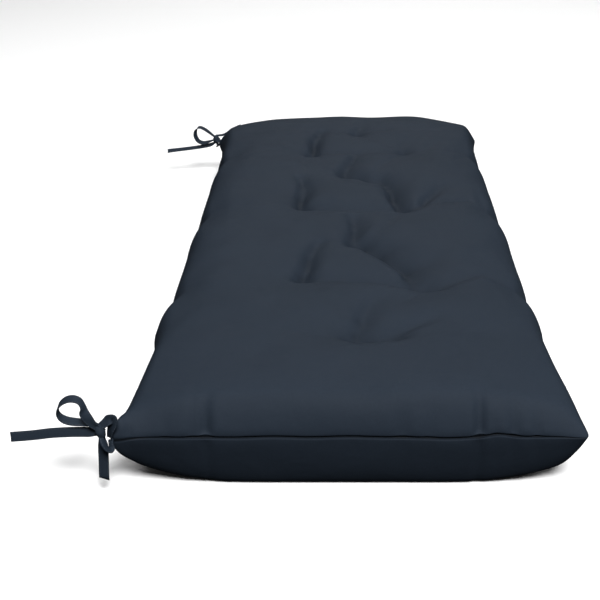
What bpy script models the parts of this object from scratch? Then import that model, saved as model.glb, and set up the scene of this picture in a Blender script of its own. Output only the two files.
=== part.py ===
"""Bench cushion: a plump, tufted cushion with a flat cloth tie at two of its corners.

Metres, +Z up. The cushion lies on its back on z = 0, with its length along Y and the edge that
carries the ties at -X. The origin is under the middle of the cushion.
"""
import math

import bmesh
import bpy
import numpy as np
from mathutils import Vector

# Driving sizes of the cushion.
LENGTH = 1.200
DEPTH = 0.500
SEAM_HEIGHT = 0.066         # the seam that joins the two panels, above the surface
TOP_PANEL = {
    "rise": 0.061,          # above the seam
    "lean": 0.006,          # more than that at the far end, and less at the near end
    "roll": 0.022,          # the steep rounded rim, from the seam inwards
    "roll_share": 0.70,     # of the rise; the crown behind the rim makes up the rest
    "dents": 1.0,           # depth of the stitches and folds
    "way": 1.0,
}
BOTTOM_PANEL = {
    "rise": 0.068,          # below the seam, before the surface flattens it
    "lean": 0.0,
    "roll": 0.020,
    "roll_share": 1.0,
    "dents": 0.60,
    "way": -1.0,
}
CROWN_REACH = 0.120         # from the seam inwards to the full height of the crown
EARS = (
    # side, end, rise, reach: the cloth is gathered to a small blunt ear where a tie is caught
    (-1, -1, 0.018, 0.018),
    (-1, 1, 0.003, 0.018),
)
EAR_ROLL = 0.008            # from the seam inwards to the full height of an ear
CORNER_REACH = 0.180        # the corners stay thinner over this distance
CORNER_POWER = 2.39
CORNER_TIP = 0.004
CORNER_RADIUS = 0.008       # the corners seen from above
SIDE_DRAW = 0.0155          # the long sides are drawn in by this between the corners
SIDE_DRAW_RUN = 0.222
NOTCH_DEPTH = 0.006         # more beside each pair of tufts, which scallops the sides
NOTCH_REACH = 0.026
CORNER_PULLS = (
    # side, end, out to the side, out to the end, reach: the ties pull two corners to a point
    (-1, -1, 0.0045, 0.0040, 0.022),
    (-1, 1, 0.0045, 0.0040, 0.022),
    (1, -1, 0.0010, 0.0000, 0.020),
)
SIDE_PUFFS = (
    # side, y, out, reach: the filling pushes the sides out just before each pair of stitches
    (-1, -0.355, 0.0085, 0.040),
    (-1, -0.060, 0.0025, 0.036),
    (-1, 0.235, 0.0010, 0.036),
    (-1, 0.420, -0.0020, 0.050),
    (1, -0.550, 0.0020, 0.040),
    (1, -0.350, 0.0045, 0.036),
    (1, -0.060, 0.0025, 0.036),
    (1, 0.235, 0.0010, 0.036),
)
GROOVE_DEPTH = 0.0025       # the seam line lies in a small groove
GROOVE_LIP = 0.06           # height of its lips, as a share of the full panel
EDGE_BLEND = 3              # rounds the place where a side's roll meets an end's roll
DROP_BLEND = 3              # the same where a dent meets a fold
PAIR_ROWS = (-2, 0, 2)      # the rows with two stitches, counted from the middle

# How finely the panels are divided.
RIM_RINGS = 4
PANEL_STEP = 0.0172
TOLERANCE = 1e-6

# Where the cushion is stitched through, row by row from the near end. The stitches were set by
# hand, so they are a little off their rows.
TUFT_PITCH = LENGTH / 8
TUFTS = {
    # name: (x, y)
    "one": (0.022, -3.00 * TUFT_PITCH),
    "two_left": (-0.060, -1.98 * TUFT_PITCH),
    "two_right": (0.095, -2.02 * TUFT_PITCH),
    "three": (0.022, -0.97 * TUFT_PITCH),
    "four_left": (-0.067, 0.02 * TUFT_PITCH),
    "four_right": (0.087, -0.02 * TUFT_PITCH),
    "five": (0.024, 1.02 * TUFT_PITCH),
    "six_left": (-0.063, 2.02 * TUFT_PITCH),
    "six_right": (0.096, 2.00 * TUFT_PITCH),
    "seven": (0.020, 3.02 * TUFT_PITCH),
}
TUFT_DEPTH = 0.028
TUFT_REACH = 0.042
TUFT_POWER = 1.3

# Folds that run from stitch to stitch, and from the outer stitches to the long sides.
FOLDS = (
    # from, to, depth, reach to each side
    ("one", "two_left", 0.006, 0.026),
    ("one", "two_right", 0.008, 0.024),
    ("three", "two_left", 0.010, 0.024),
    ("three", "two_right", 0.015, 0.024),
    ("three", "four_left", 0.008, 0.026),
    ("three", "four_right", 0.008, 0.026),
    ("five", "four_left", 0.010, 0.024),
    ("five", "four_right", 0.014, 0.023),
    ("five", "six_left", 0.009, 0.025),
    ("five", "six_right", 0.007, 0.026),
    ("seven", "six_left", 0.010, 0.025),
    ("seven", "six_right", 0.006, 0.026),
)
SIDE_FOLDS = (
    # from, side, depth, reach to each side
    ("two_left", -1, 0.006, 0.034),
    ("two_right", 1, 0.008, 0.032),
    ("four_left", -1, 0.006, 0.036),
    ("four_right", 1, 0.007, 0.034),
    ("six_left", -1, 0.006, 0.036),
    ("six_right", 1, 0.006, 0.034),
)

# The ties are one folded and stitched strip of cloth each.
STRIP_WIDTH = 0.011
STRIP_THICK = 0.0012
SECTIONS_PER_ROW = 3        # sections of a strip between two rows of its table
KNOT_SEGMENTS = 14
KNOT_RINGS = 9

# The runs of the near tie. Each row is a point on the middle of the strip, in metres, the
# direction in which the strip is wide there, and its share of the full width: it is gathered
# where it goes into the knot.
NEAR_RUNS = {
    # x, y, z, wide_x, wide_y, wide_z, gather
    "upper": (
        (-0.2525, -0.6016, 0.0668, 0.70, -0.70, 0.00, 0.70),
        (-0.2506, -0.6046, 0.0765, 0.80, -0.60, 0.00, 0.80),
        (-0.2474, -0.6068, 0.0862, 0.90, -0.40, 0.20, 1.00),
        (-0.2470, -0.6085, 0.0935, 0.75, -0.10, 0.65, 1.00),
        (-0.2502, -0.6092, 0.0928, 0.45, 0.15, 0.87, 1.00),
        (-0.2552, -0.6092, 0.0882, 0.30, 0.25, 0.90, 0.85),
        (-0.2610, -0.6090, 0.0835, 0.30, 0.20, 0.93, 0.60),
    ),
    "lower": (
        (-0.2525, -0.6016, 0.0652, 0.70, -0.70, 0.00, 0.70),
        (-0.2515, -0.6068, 0.0600, 0.45, -0.89, 0.00, 0.85),
        (-0.2517, -0.6115, 0.0595, 0.10, -0.99, 0.00, 1.00),
        (-0.2543, -0.6148, 0.0635, -0.20, -0.98, 0.00, 1.00),
        (-0.2567, -0.6145, 0.0685, -0.34, -0.94, 0.00, 0.90),
        (-0.2587, -0.6125, 0.0730, -0.34, -0.94, 0.00, 0.60),
        (-0.2600, -0.6095, 0.0775, -0.34, -0.94, 0.00, 0.50),
    ),
    "loop": (
        (-0.2610, -0.6105, 0.0830, 0.80, 0.00, 0.60, 0.50),
        (-0.2660, -0.6124, 0.0882, 0.80, 0.00, 0.60, 0.80),
        (-0.2706, -0.6130, 0.0945, 0.80, 0.05, 0.60, 1.00),
        (-0.2746, -0.6124, 0.1015, 0.70, 0.50, 0.50, 1.00),
        (-0.2756, -0.6110, 0.1085, 0.20, 0.95, 0.20, 1.00),
        (-0.2795, -0.6092, 0.1145, 0.00, 0.97, 0.25, 1.00),
        (-0.2871, -0.6080, 0.1166, 0.00, 0.95, 0.30, 1.00),
        (-0.2954, -0.6070, 0.1141, 0.00, 0.95, 0.30, 1.00),
        (-0.3023, -0.6060, 0.1075, 0.00, 0.97, 0.20, 1.00),
        (-0.3046, -0.6050, 0.0993, 0.00, 1.00, 0.10, 1.00),
        (-0.3018, -0.6045, 0.0930, 0.00, 0.95, 0.30, 1.00),
        (-0.2960, -0.6040, 0.0892, 0.00, 0.92, 0.38, 1.00),
        (-0.2887, -0.6040, 0.0876, 0.00, 0.92, 0.38, 1.00),
        (-0.2806, -0.6040, 0.0868, 0.00, 0.95, 0.30, 1.00),
        (-0.2730, -0.6045, 0.0862, 0.00, 1.00, 0.15, 1.00),
        (-0.2675, -0.6050, 0.0858, 0.00, 1.00, 0.00, 0.85),
        (-0.2610, -0.6065, 0.0845, 0.00, 1.00, 0.00, 0.60),
    ),
    "long": (
        (-0.2605, -0.6080, 0.0770, 0.00, 0.30, 0.95, 0.50),
        (-0.2665, -0.6065, 0.0766, 0.00, 0.28, 0.96, 0.75),
        (-0.2735, -0.6055, 0.0763, 0.00, 0.26, 0.97, 1.00),
        (-0.2829, -0.6050, 0.0761, 0.00, 0.26, 0.97, 1.00),
        (-0.2979, -0.6050, 0.0758, 0.00, 0.26, 0.97, 1.00),
        (-0.3150, -0.6053, 0.0748, 0.00, 0.24, 0.97, 1.00),
        (-0.3340, -0.6060, 0.0727, 0.00, 0.22, 0.98, 1.00),
        (-0.3567, -0.6070, 0.0713, 0.00, 0.20, 0.98, 1.00),
    ),
    "short": (
        (-0.2603, -0.6080, 0.0760, 1.00, 0.00, 0.00, 0.45),
        (-0.2597, -0.6077, 0.0690, 1.00, 0.00, 0.00, 0.70),
        (-0.2592, -0.6075, 0.0605, 1.00, 0.00, 0.00, 1.00),
        (-0.2600, -0.6075, 0.0435, 1.00, 0.00, 0.00, 1.00),
        (-0.2612, -0.6075, 0.0225, 1.00, 0.00, 0.00, 1.00),
    ),
}
NEAR_KNOT = (-0.2605, -0.6090, 0.0790)

# The far tie hangs behind the corner, and its short end lies against the rounded far end.
FAR_RUNS = {
    # x, y, z, wide_x, wide_y, wide_z, gather
    "upper": (
        (-0.2525, 0.6016, 0.0668, 0.70, 0.70, 0.00, 0.90),
        (-0.2538, 0.6045, 0.0705, 0.70, 0.70, 0.10, 1.00),
        (-0.2553, 0.6065, 0.0735, 0.60, 0.75, 0.25, 0.85),
        (-0.2585, 0.6080, 0.0755, 0.45, 0.80, 0.40, 0.55),
    ),
    "lower": (
        (-0.2525, 0.6016, 0.0652, 0.70, 0.70, 0.00, 0.90),
        (-0.2538, 0.6052, 0.0598, 0.55, 0.83, 0.10, 1.00),
        (-0.2557, 0.6075, 0.0590, 0.30, 0.95, 0.10, 0.80),
        (-0.2575, 0.6085, 0.0660, 0.20, 0.97, 0.00, 0.45),
    ),
    "loop": (
        (-0.2585, 0.6085, 0.0745, 0.10, 1.00, 0.10, 0.55),
        (-0.2647, 0.6088, 0.0795, 0.10, 1.00, 0.10, 0.80),
        (-0.2745, 0.6085, 0.0885, 0.10, 0.97, 0.22, 1.00),
        (-0.2850, 0.6080, 0.0952, 0.10, 0.97, 0.22, 1.00),
        (-0.2925, 0.6080, 0.0960, 0.15, 0.97, 0.20, 1.00),
        (-0.2983, 0.6078, 0.0890, 0.45, 0.88, 0.05, 1.00),
        (-0.2988, 0.6075, 0.0790, 0.55, 0.83, 0.10, 1.00),
        (-0.2938, 0.6070, 0.0695, 0.45, 0.85, 0.25, 1.00),
        (-0.2850, 0.6066, 0.0655, 0.20, 0.88, 0.42, 1.00),
        (-0.2760, 0.6068, 0.0668, 0.05, 0.95, 0.30, 1.00),
        (-0.2655, 0.6075, 0.0705, 0.00, 1.00, 0.05, 0.80),
        (-0.2585, 0.6075, 0.0710, 0.00, 1.00, 0.00, 0.60),
    ),
    "long": (
        (-0.2590, 0.6080, 0.0665, 0.00, 0.90, 0.43, 0.50),
        (-0.2650, 0.6080, 0.0628, 0.00, 0.90, 0.43, 0.80),
        (-0.2730, 0.6080, 0.0603, 0.00, 0.90, 0.43, 1.00),
        (-0.2900, 0.6085, 0.0570, 0.00, 0.92, 0.40, 1.00),
        (-0.3075, 0.6090, 0.0545, 0.00, 0.92, 0.38, 1.00),
        (-0.3235, 0.6090, 0.0526, 0.00, 0.92, 0.38, 1.00),
        (-0.3411, 0.6085, 0.0508, 0.00, 0.90, 0.42, 1.00),
        (-0.3561, 0.6080, 0.0492, 0.00, 0.88, 0.46, 1.00),
    ),
    "short": (
        (-0.2583, 0.6095, 0.0785, 0.00, 1.00, 0.10, 0.55),
        (-0.2525, 0.6108, 0.0795, 0.00, 1.00, 0.10, 0.85),
        (-0.2450, 0.6108, 0.0800, 0.00, 1.00, 0.10, 1.00),
        (-0.2375, 0.6105, 0.0838, 0.00, 1.00, 0.10, 1.00),
        (-0.2290, 0.6098, 0.0895, 0.00, 1.00, 0.10, 1.00),
        (-0.2172, 0.6090, 0.0962, 0.00, 1.00, 0.10, 1.00),
        (-0.2085, 0.6085, 0.0998, 0.00, 1.00, 0.05, 1.00),
    ),
}
FAR_KNOT = (-0.2587, 0.6080, 0.0720)
KNOT_SIZE = (0.0050, 0.0058, 0.0088)    # half sizes
PIECE_GAP = 0.0003                      # between a knot and the runs that go into it
TAIL_SLANT = 0.0030                     # the short tail is cut lower on one edge by this

PANEL_COLOUR = (0.0273, 0.0356, 0.0497, 1.0)
PANEL_ROUGHNESS = 0.55
TIE_COLOUR = (0.0300, 0.0390, 0.0530, 1.0)
TIE_ROUGHNESS = 0.60


def fabric(name, colour, roughness):
    """A Principled cloth material."""
    material = bpy.data.materials.new(name)
    material.use_nodes = True
    shader = material.node_tree.nodes["Principled BSDF"]
    shader.inputs["Base Color"].default_value = colour
    shader.inputs["Roughness"].default_value = roughness
    shader.inputs["Metallic"].default_value = 0.0
    return material


# ---------------------------------------------------------------- the cushion

def rise(distance, reach, power=2.0):
    """0 at the seam and 1 from reach on, round in between."""
    share = np.clip(distance / reach, 0.0, 1.0)
    return (1.0 - (1.0 - share) ** power) ** (1.0 / power)


def grid_lines(half):
    """Places of the grid lines across a panel, close together over the rounded rim."""
    roll = TOP_PANEL["roll"]
    lip = roll * (1.0 - math.sqrt(1.0 - GROOVE_LIP ** 2))
    turns = [math.radians(90.0 * ring / RIM_RINGS) for ring in range(1, RIM_RINGS)]
    insets = [0.0, lip] + [roll * (1.0 - math.cos(turn)) for turn in turns]
    inner = half - roll
    count = 2 * round(inner / PANEL_STEP)
    middle = [inner * (2.0 * step / count - 1.0) for step in range(count + 1)]
    rim = [half - inset for inset in insets]
    return [-place for place in rim] + middle + rim[::-1]


def line_distance(x, y, start, end):
    """Distance of each point from a straight fold."""
    run_x = end[0] - start[0]
    run_y = end[1] - start[1]
    share = ((x - start[0]) * run_x + (y - start[1]) * run_y) / (run_x ** 2 + run_y ** 2)
    share = np.clip(share, 0.0, 1.0)
    return np.hypot(x - start[0] - share * run_x, y - start[1] - share * run_y)


def panel_drop(x, y):
    """How far the stitches and folds pull a panel in, at each point."""
    drops = []
    for place in TUFTS.values():
        away = np.hypot(x - place[0], y - place[1])
        drops.append(TUFT_DEPTH * np.exp(-(away / TUFT_REACH) ** TUFT_POWER))
    for start, end, depth, reach in FOLDS:
        away = line_distance(x, y, TUFTS[start], TUFTS[end])
        drops.append(depth * np.exp(-(away / reach) ** 2))
    for start, side, depth, reach in SIDE_FOLDS:
        place = TUFTS[start]
        away = line_distance(x, y, place, (side * DEPTH / 2, place[1]))
        drops.append(depth * np.exp(-(away / reach) ** 2))
    return sum(drop ** DROP_BLEND for drop in drops) ** (1 / DROP_BLEND)


def panel_height(x, y, panel):
    """Height of a panel away from the seam."""
    from_side = DEPTH / 2 - np.abs(x)
    from_end = LENGTH / 2 - np.abs(y)
    side_share = (from_side + TOLERANCE) ** -EDGE_BLEND
    end_share = (from_end + TOLERANCE) ** -EDGE_BLEND
    inward = (side_share + end_share) ** (-1 / EDGE_BLEND)
    crown = rise(from_side, CROWN_REACH) * rise(from_end, CROWN_REACH)
    edge = panel["roll_share"] * rise(inward, panel["roll"])
    edge = edge + (1.0 - panel["roll_share"]) * crown
    corner = rise(np.hypot(from_side, from_end) + CORNER_TIP, CORNER_REACH, CORNER_POWER)
    full = panel["rise"] + panel["lean"] * y / (LENGTH / 2)
    height = (full - panel["dents"] * panel_drop(x, y)) * edge * corner
    for side, end, ear_rise, reach in EARS:
        away = np.hypot(x - side * DEPTH / 2, y - end * LENGTH / 2)
        ear = ear_rise * panel["dents"] * np.exp(-(away / reach) ** 2)
        height = height + ear * rise(inward, EAR_ROLL)
    return np.where(np.minimum(from_side, from_end) < TOLERANCE, 0.0, height)


def drawn_in(x, y):
    """Plan of the cushion: round corners and long sides drawn in, most beside the stitches."""
    over_x = np.clip(np.abs(x) - (DEPTH / 2 - CORNER_RADIUS), 0.0, None)
    over_y = np.clip(np.abs(y) - (LENGTH / 2 - CORNER_RADIUS), 0.0, None)
    longest = np.hypot(over_x, over_y)
    keep = np.maximum(over_x, over_y) / np.maximum(longest, TOLERANCE)
    plan_x = x - np.sign(x) * over_x * (1.0 - keep)
    plan_y = y - np.sign(y) * over_y * (1.0 - keep)
    behind_corner = LENGTH / 2 - CORNER_RADIUS - np.abs(y)
    draw = SIDE_DRAW * (1.0 - (1.0 - np.clip(behind_corner / SIDE_DRAW_RUN, 0.0, 1.0)) ** 2)
    for row in PAIR_ROWS:
        draw = draw + NOTCH_DEPTH * np.exp(-((y - row * TUFT_PITCH) / NOTCH_REACH) ** 2)
    for side, place, out, reach in SIDE_PUFFS:
        puff = out * np.exp(-((y - place) / reach) ** 2)
        draw = draw - np.where(x * side > 0, puff, 0.0)
    plan_x = plan_x * (1.0 - draw / (DEPTH / 2) * (np.abs(x) / (DEPTH / 2)))
    for side, end, out_x, out_y, reach in CORNER_PULLS:
        away = np.hypot(x - side * DEPTH / 2, y - end * LENGTH / 2)
        pull = np.exp(-(away / reach) ** 2)
        plan_x = plan_x + side * out_x * pull
        plan_y = plan_y + end * out_y * pull
    return plan_x, plan_y


def groove(x, y, plan_x, plan_y):
    """The rim itself is pulled in under the two panels."""
    on_side = np.abs(x) > DEPTH / 2 - TOLERANCE
    on_end = np.abs(y) > LENGTH / 2 - TOLERANCE
    depth = np.where(on_side & on_end, GROOVE_DEPTH * math.sqrt(0.5), GROOVE_DEPTH)
    plan_x = np.where(on_side, plan_x - np.sign(x) * depth, plan_x)
    plan_y = np.where(on_end, plan_y - np.sign(y) * depth, plan_y)
    return plan_x, plan_y


def add_panel(mesh, panel):
    """One panel: a grid whose points are moved to the form of the filled cloth."""
    columns = grid_lines(DEPTH / 2)
    rows = grid_lines(LENGTH / 2)
    grid = bmesh.ops.create_grid(
        mesh, x_segments=len(columns) - 1, y_segments=len(rows) - 1, size=1.0)
    verts = grid["verts"]
    column = [round((vert.co.x + 1) / 2 * (len(columns) - 1)) for vert in verts]
    row = [round((vert.co.y + 1) / 2 * (len(rows) - 1)) for vert in verts]
    x = np.array(columns)[column]
    y = np.array(rows)[row]
    height = panel_height(x, y, panel)
    plan_x, plan_y = groove(x, y, *drawn_in(x, y))
    z = np.maximum(SEAM_HEIGHT + panel["way"] * height, 0.0)
    for vert, place_x, place_y, place_z in zip(verts, plan_x, plan_y, z):
        vert.co = (place_x, place_y, place_z)


def centre_on_origin(mesh):
    """The middle of the cushion's own box goes over the origin."""
    for axis in (0, 1):
        places = [vert.co[axis] for vert in mesh.verts]
        middle = (min(places) + max(places)) / 2
        for vert in mesh.verts:
            vert.co[axis] -= middle


def make_cushion(collection):
    """Top and bottom panel, closed along the seam."""
    mesh = bmesh.new()
    add_panel(mesh, TOP_PANEL)
    add_panel(mesh, BOTTOM_PANEL)
    bmesh.ops.remove_doubles(mesh, verts=mesh.verts[:], dist=TOLERANCE)
    centre_on_origin(mesh)
    bmesh.ops.recalc_face_normals(mesh, faces=mesh.faces[:])
    data = bpy.data.meshes.new("cushion")
    mesh.to_mesh(data)
    mesh.free()
    data.shade_smooth()
    data.materials.append(fabric("cushion cloth", PANEL_COLOUR, PANEL_ROUGHNESS))
    cushion = bpy.data.objects.new("cushion", data)
    collection.objects.link(cushion)


# ---------------------------------------------------------------- the ties

def smooth_rows(rows):
    """The rows of a table with a smooth curve through them."""
    points = [np.array(row) for row in rows]
    points = [2 * points[0] - points[1]] + points + [2 * points[-1] - points[-2]]
    smooth = []
    for index in range(1, len(points) - 2):
        before, here, after, beyond = points[index - 1:index + 3]
        for step in range(SECTIONS_PER_ROW):
            share = step / SECTIONS_PER_ROW
            tangent = after - before
            next_tangent = beyond - here
            bend = 3 * (after - here) - tangent - 0.5 * next_tangent
            turn = 2 * (here - after) + 0.5 * tangent + 0.5 * next_tangent
            smooth.append(here + 0.5 * tangent * share + bend * share ** 2 + turn * share ** 3)
    smooth.append(points[-2])
    return smooth


def make_strip(name, rows, knot_space, material, collection, slant=0.0):
    """A flat strip that follows its rows and ends at the knot."""
    mesh = bmesh.new()
    edges = []
    for section in smooth_rows(rows):
        middle = Vector(section[:3])
        wide = Vector(section[3:6]).normalized() * (section[6] * STRIP_WIDTH / 2)
        edges.append((mesh.verts.new(middle - wide), mesh.verts.new(middle + wide)))
    edges[-1][1].co.z -= slant
    for near, far in zip(edges, edges[1:]):
        mesh.faces.new((near[0], near[1], far[1], far[0]))
    data = bpy.data.meshes.new(name)
    mesh.to_mesh(data)
    mesh.free()
    data.materials.append(material)
    strip = bpy.data.objects.new(name, data)
    solid = strip.modifiers.new("cloth thickness", "SOLIDIFY")
    solid.thickness = STRIP_THICK
    solid.offset = 0.0
    solid.use_even_offset = True
    cut = strip.modifiers.new("end at the knot", "BOOLEAN")
    cut.operation = "DIFFERENCE"
    cut.object = knot_space
    collection.objects.link(strip)


def make_lump(name, place, gap, collection):
    """A small upright lump, larger all round by the gap."""
    mesh = bmesh.new()
    bmesh.ops.create_uvsphere(
        mesh, u_segments=KNOT_SEGMENTS, v_segments=KNOT_RINGS, radius=1.0)
    bmesh.ops.scale(mesh, vec=[half + gap for half in KNOT_SIZE], verts=mesh.verts[:])
    data = bpy.data.meshes.new(name)
    mesh.to_mesh(data)
    mesh.free()
    data.shade_smooth()
    lump = bpy.data.objects.new(name, data)
    lump.location = place
    collection.objects.link(lump)
    return lump


def make_tie(name, runs, knot_place, material, collection, cutters):
    """The runs and the knot of one tie."""
    knot = make_lump(f"{name}_knot", knot_place, 0.0, collection)
    knot.data.materials.append(material)
    knot_space = make_lump(f"{name}_knot_space", knot_place, PIECE_GAP, cutters)
    knot_space.hide_render = True
    knot_space.display_type = "WIRE"
    for run, rows in runs.items():
        slant = TAIL_SLANT if run == "short" else 0.0
        make_strip(f"{name}_{run}", rows, knot_space, material, collection, slant)


def main():
    for thing in list(bpy.data.objects):
        bpy.data.objects.remove(thing)
    collection = bpy.data.collections.new("bench cushion")
    bpy.context.scene.collection.children.link(collection)
    cutters = bpy.data.collections.new("cutters")
    bpy.context.scene.collection.children.link(cutters)
    make_cushion(collection)
    tie_cloth = fabric("tie cloth", TIE_COLOUR, TIE_ROUGHNESS)
    make_tie("tie_near", NEAR_RUNS, NEAR_KNOT, tie_cloth, collection, cutters)
    make_tie("tie_far", FAR_RUNS, FAR_KNOT, tie_cloth, collection, cutters)


main()
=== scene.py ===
"""Looks of a tufted bench cushion with two corner ties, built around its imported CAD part."""
import math

import bmesh
import bpy
import numpy as np
from mathutils import Matrix, Vector


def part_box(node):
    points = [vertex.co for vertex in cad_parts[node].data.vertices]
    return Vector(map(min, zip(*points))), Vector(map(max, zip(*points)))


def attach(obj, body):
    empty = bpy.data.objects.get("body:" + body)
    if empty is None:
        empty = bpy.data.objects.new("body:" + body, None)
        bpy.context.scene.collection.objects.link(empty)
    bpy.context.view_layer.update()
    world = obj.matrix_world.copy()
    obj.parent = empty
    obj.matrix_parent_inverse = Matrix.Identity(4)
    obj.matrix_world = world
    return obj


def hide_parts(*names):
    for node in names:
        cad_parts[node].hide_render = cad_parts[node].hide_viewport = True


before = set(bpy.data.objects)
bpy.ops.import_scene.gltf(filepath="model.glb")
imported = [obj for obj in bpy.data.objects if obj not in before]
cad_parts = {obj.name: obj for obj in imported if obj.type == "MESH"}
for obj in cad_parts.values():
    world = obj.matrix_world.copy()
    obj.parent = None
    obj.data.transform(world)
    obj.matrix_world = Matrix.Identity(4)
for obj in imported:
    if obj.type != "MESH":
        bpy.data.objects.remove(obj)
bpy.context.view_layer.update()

# ---------------------------------------------------------------- camera

CAMERA_PLACE = (-0.0008, -1.7225, 0.6841)
CAMERA_PITCH = 0.3895        # radians below the horizon
CAMERA_YAW = 0.0421
CAMERA_ROLL = -0.0216
CAMERA_LENS = 72.56          # mm, on a sensor 36 mm wide
SENSOR_WIDTH = 36.0

# ---------------------------------------------------------------- sizes of the cushion

LENGTH = 1.200
DEPTH = 0.500
SEAM_HEIGHT = 0.066
TOP_PANEL = {
    "rise": 0.061,          # above the seam
    "lean": 0.006,          # more than that at the far end, and less at the near end
    "roll": 0.025,          # the steep rounded rim, from the seam inwards
    "roll_share": 0.70,     # of the rise; the crown behind the rim makes up the rest
    "roll_face": 1.08,      # 1 is straight and sharp at the seam, 2 is a quarter of an ellipse
    "dents": 1.0,           # depth of the stitches and creases
    "lip": 0.0010,          # height of the first row of cloth over the seam
    "tuck": 0.0020,         # and how far it is drawn in there
    "painted_shade": 0.0,           # least painted crease shade: the cloth under the seam is painted darker
    "way": 1.0,
}
BOTTOM_PANEL = {
    "rise": 0.068,          # below the seam, before the surface flattens it
    "lean": 0.0,
    "roll": 0.0215,
    "roll_share": 1.0,
    "roll_face": 0.95,
    "dents": 0.60,
    "lip": 0.0017,
    "tuck": 0.0014,
    # painted shade all over the cloth under the seam
    "painted_shade": 0.60,
    "way": -1.0,
}
CROWN_REACH = 0.120         # from the seam inwards to the full height of the crown
EARS = (
    # side, end, rise, reach: the cloth is gathered to a small blunt ear where a tie is caught
    (-1, -1, 0.018, 0.018),
    (-1, 1, 0.003, 0.018),
)
EAR_ROLL = 0.008            # from the seam inwards to the full height of an ear
CORNER_REACH = 0.180
CORNER_POWER = 2.39
CORNER_TIP = 0.004
CORNER_RADIUS = 0.008
SIDE_DRAW = 0.0155
SIDE_DRAW_RUN = 0.222
NOTCH_DEPTH = 0.006
NOTCH_REACH = 0.026
CORNER_PULLS = (
    # side, end, out to the side, out to the end, reach
    (-1, -1, 0.0045, 0.0040, 0.022),
    (-1, 1, 0.0045, 0.0040, 0.022),
    (1, -1, 0.0010, 0.0000, 0.020),
)
SIDE_PUFFS = (
    # side, y, out, reach: the filling pushes the sides out just before each pair of stitches
    (-1, -0.355, 0.0085, 0.040),
    (-1, -0.060, 0.0025, 0.036),
    (-1, 0.235, 0.0010, 0.036),
    (-1, 0.420, -0.0020, 0.050),
    (1, -0.550, 0.0020, 0.040),
    (1, -0.350, 0.0045, 0.036),
    (1, -0.060, 0.0025, 0.036),
    (1, 0.235, 0.0010, 0.036),
)
GROOVE_DEPTH = 0.0056
GROOVE_RUN = 0.050           # it gets shallow over this far from a corner
GROOVE_AT_CORNER = 0.25      # and keeps this share of its depth there
TUCK_REACH = 0.0007          # the lip is drawn in over this much of the panel
SEAM_PAINTED_SHADE = 2.2            # painted shade: the seam's groove is painted darker than the bottom of a dent
CREASE_PAINTED_SHADE = -0.42          # painted shade: change of the cloth's tone where a crease is full
# how the painted crease shade grows with a crease's depth
PAINTED_SHADE_POWER = 1.5
EDGE_BLEND = 3
DROP_BLEND = 3
PAIR_ROWS = (-2, 0, 2)       # the rows with a pair of stitches, counted from the middle
TOLERANCE = 1e-6

STITCH_ROW = LENGTH / 8       # the rows of stitches are this far apart
TUFTS = (
    # x, y, from the near end: rows of one, two, one, two, one, two and one
    (0.020, -0.453),
    (-0.060, -0.272), (0.098, -0.306),
    (0.015, -0.142),
    (-0.069, 0.012), (0.088, 0.006),
    (0.016, 0.170),
    (-0.065, 0.302), (0.096, 0.306),
    (0.014, 0.432),
)
TUFT_DEPTH = 0.023
TUFT_POWER = 1.55
TUFT_SQUARE = 2.4             # the outline of a dent is a little square
# A dent is steep on the side of the nearer and the left puff, which lean over it.
TUFT_REACH_NEAR = 0.016
TUFT_REACH_FAR = 0.046
TUFT_REACH_LEFT = 0.018
TUFT_REACH_RIGHT = 0.040

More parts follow.
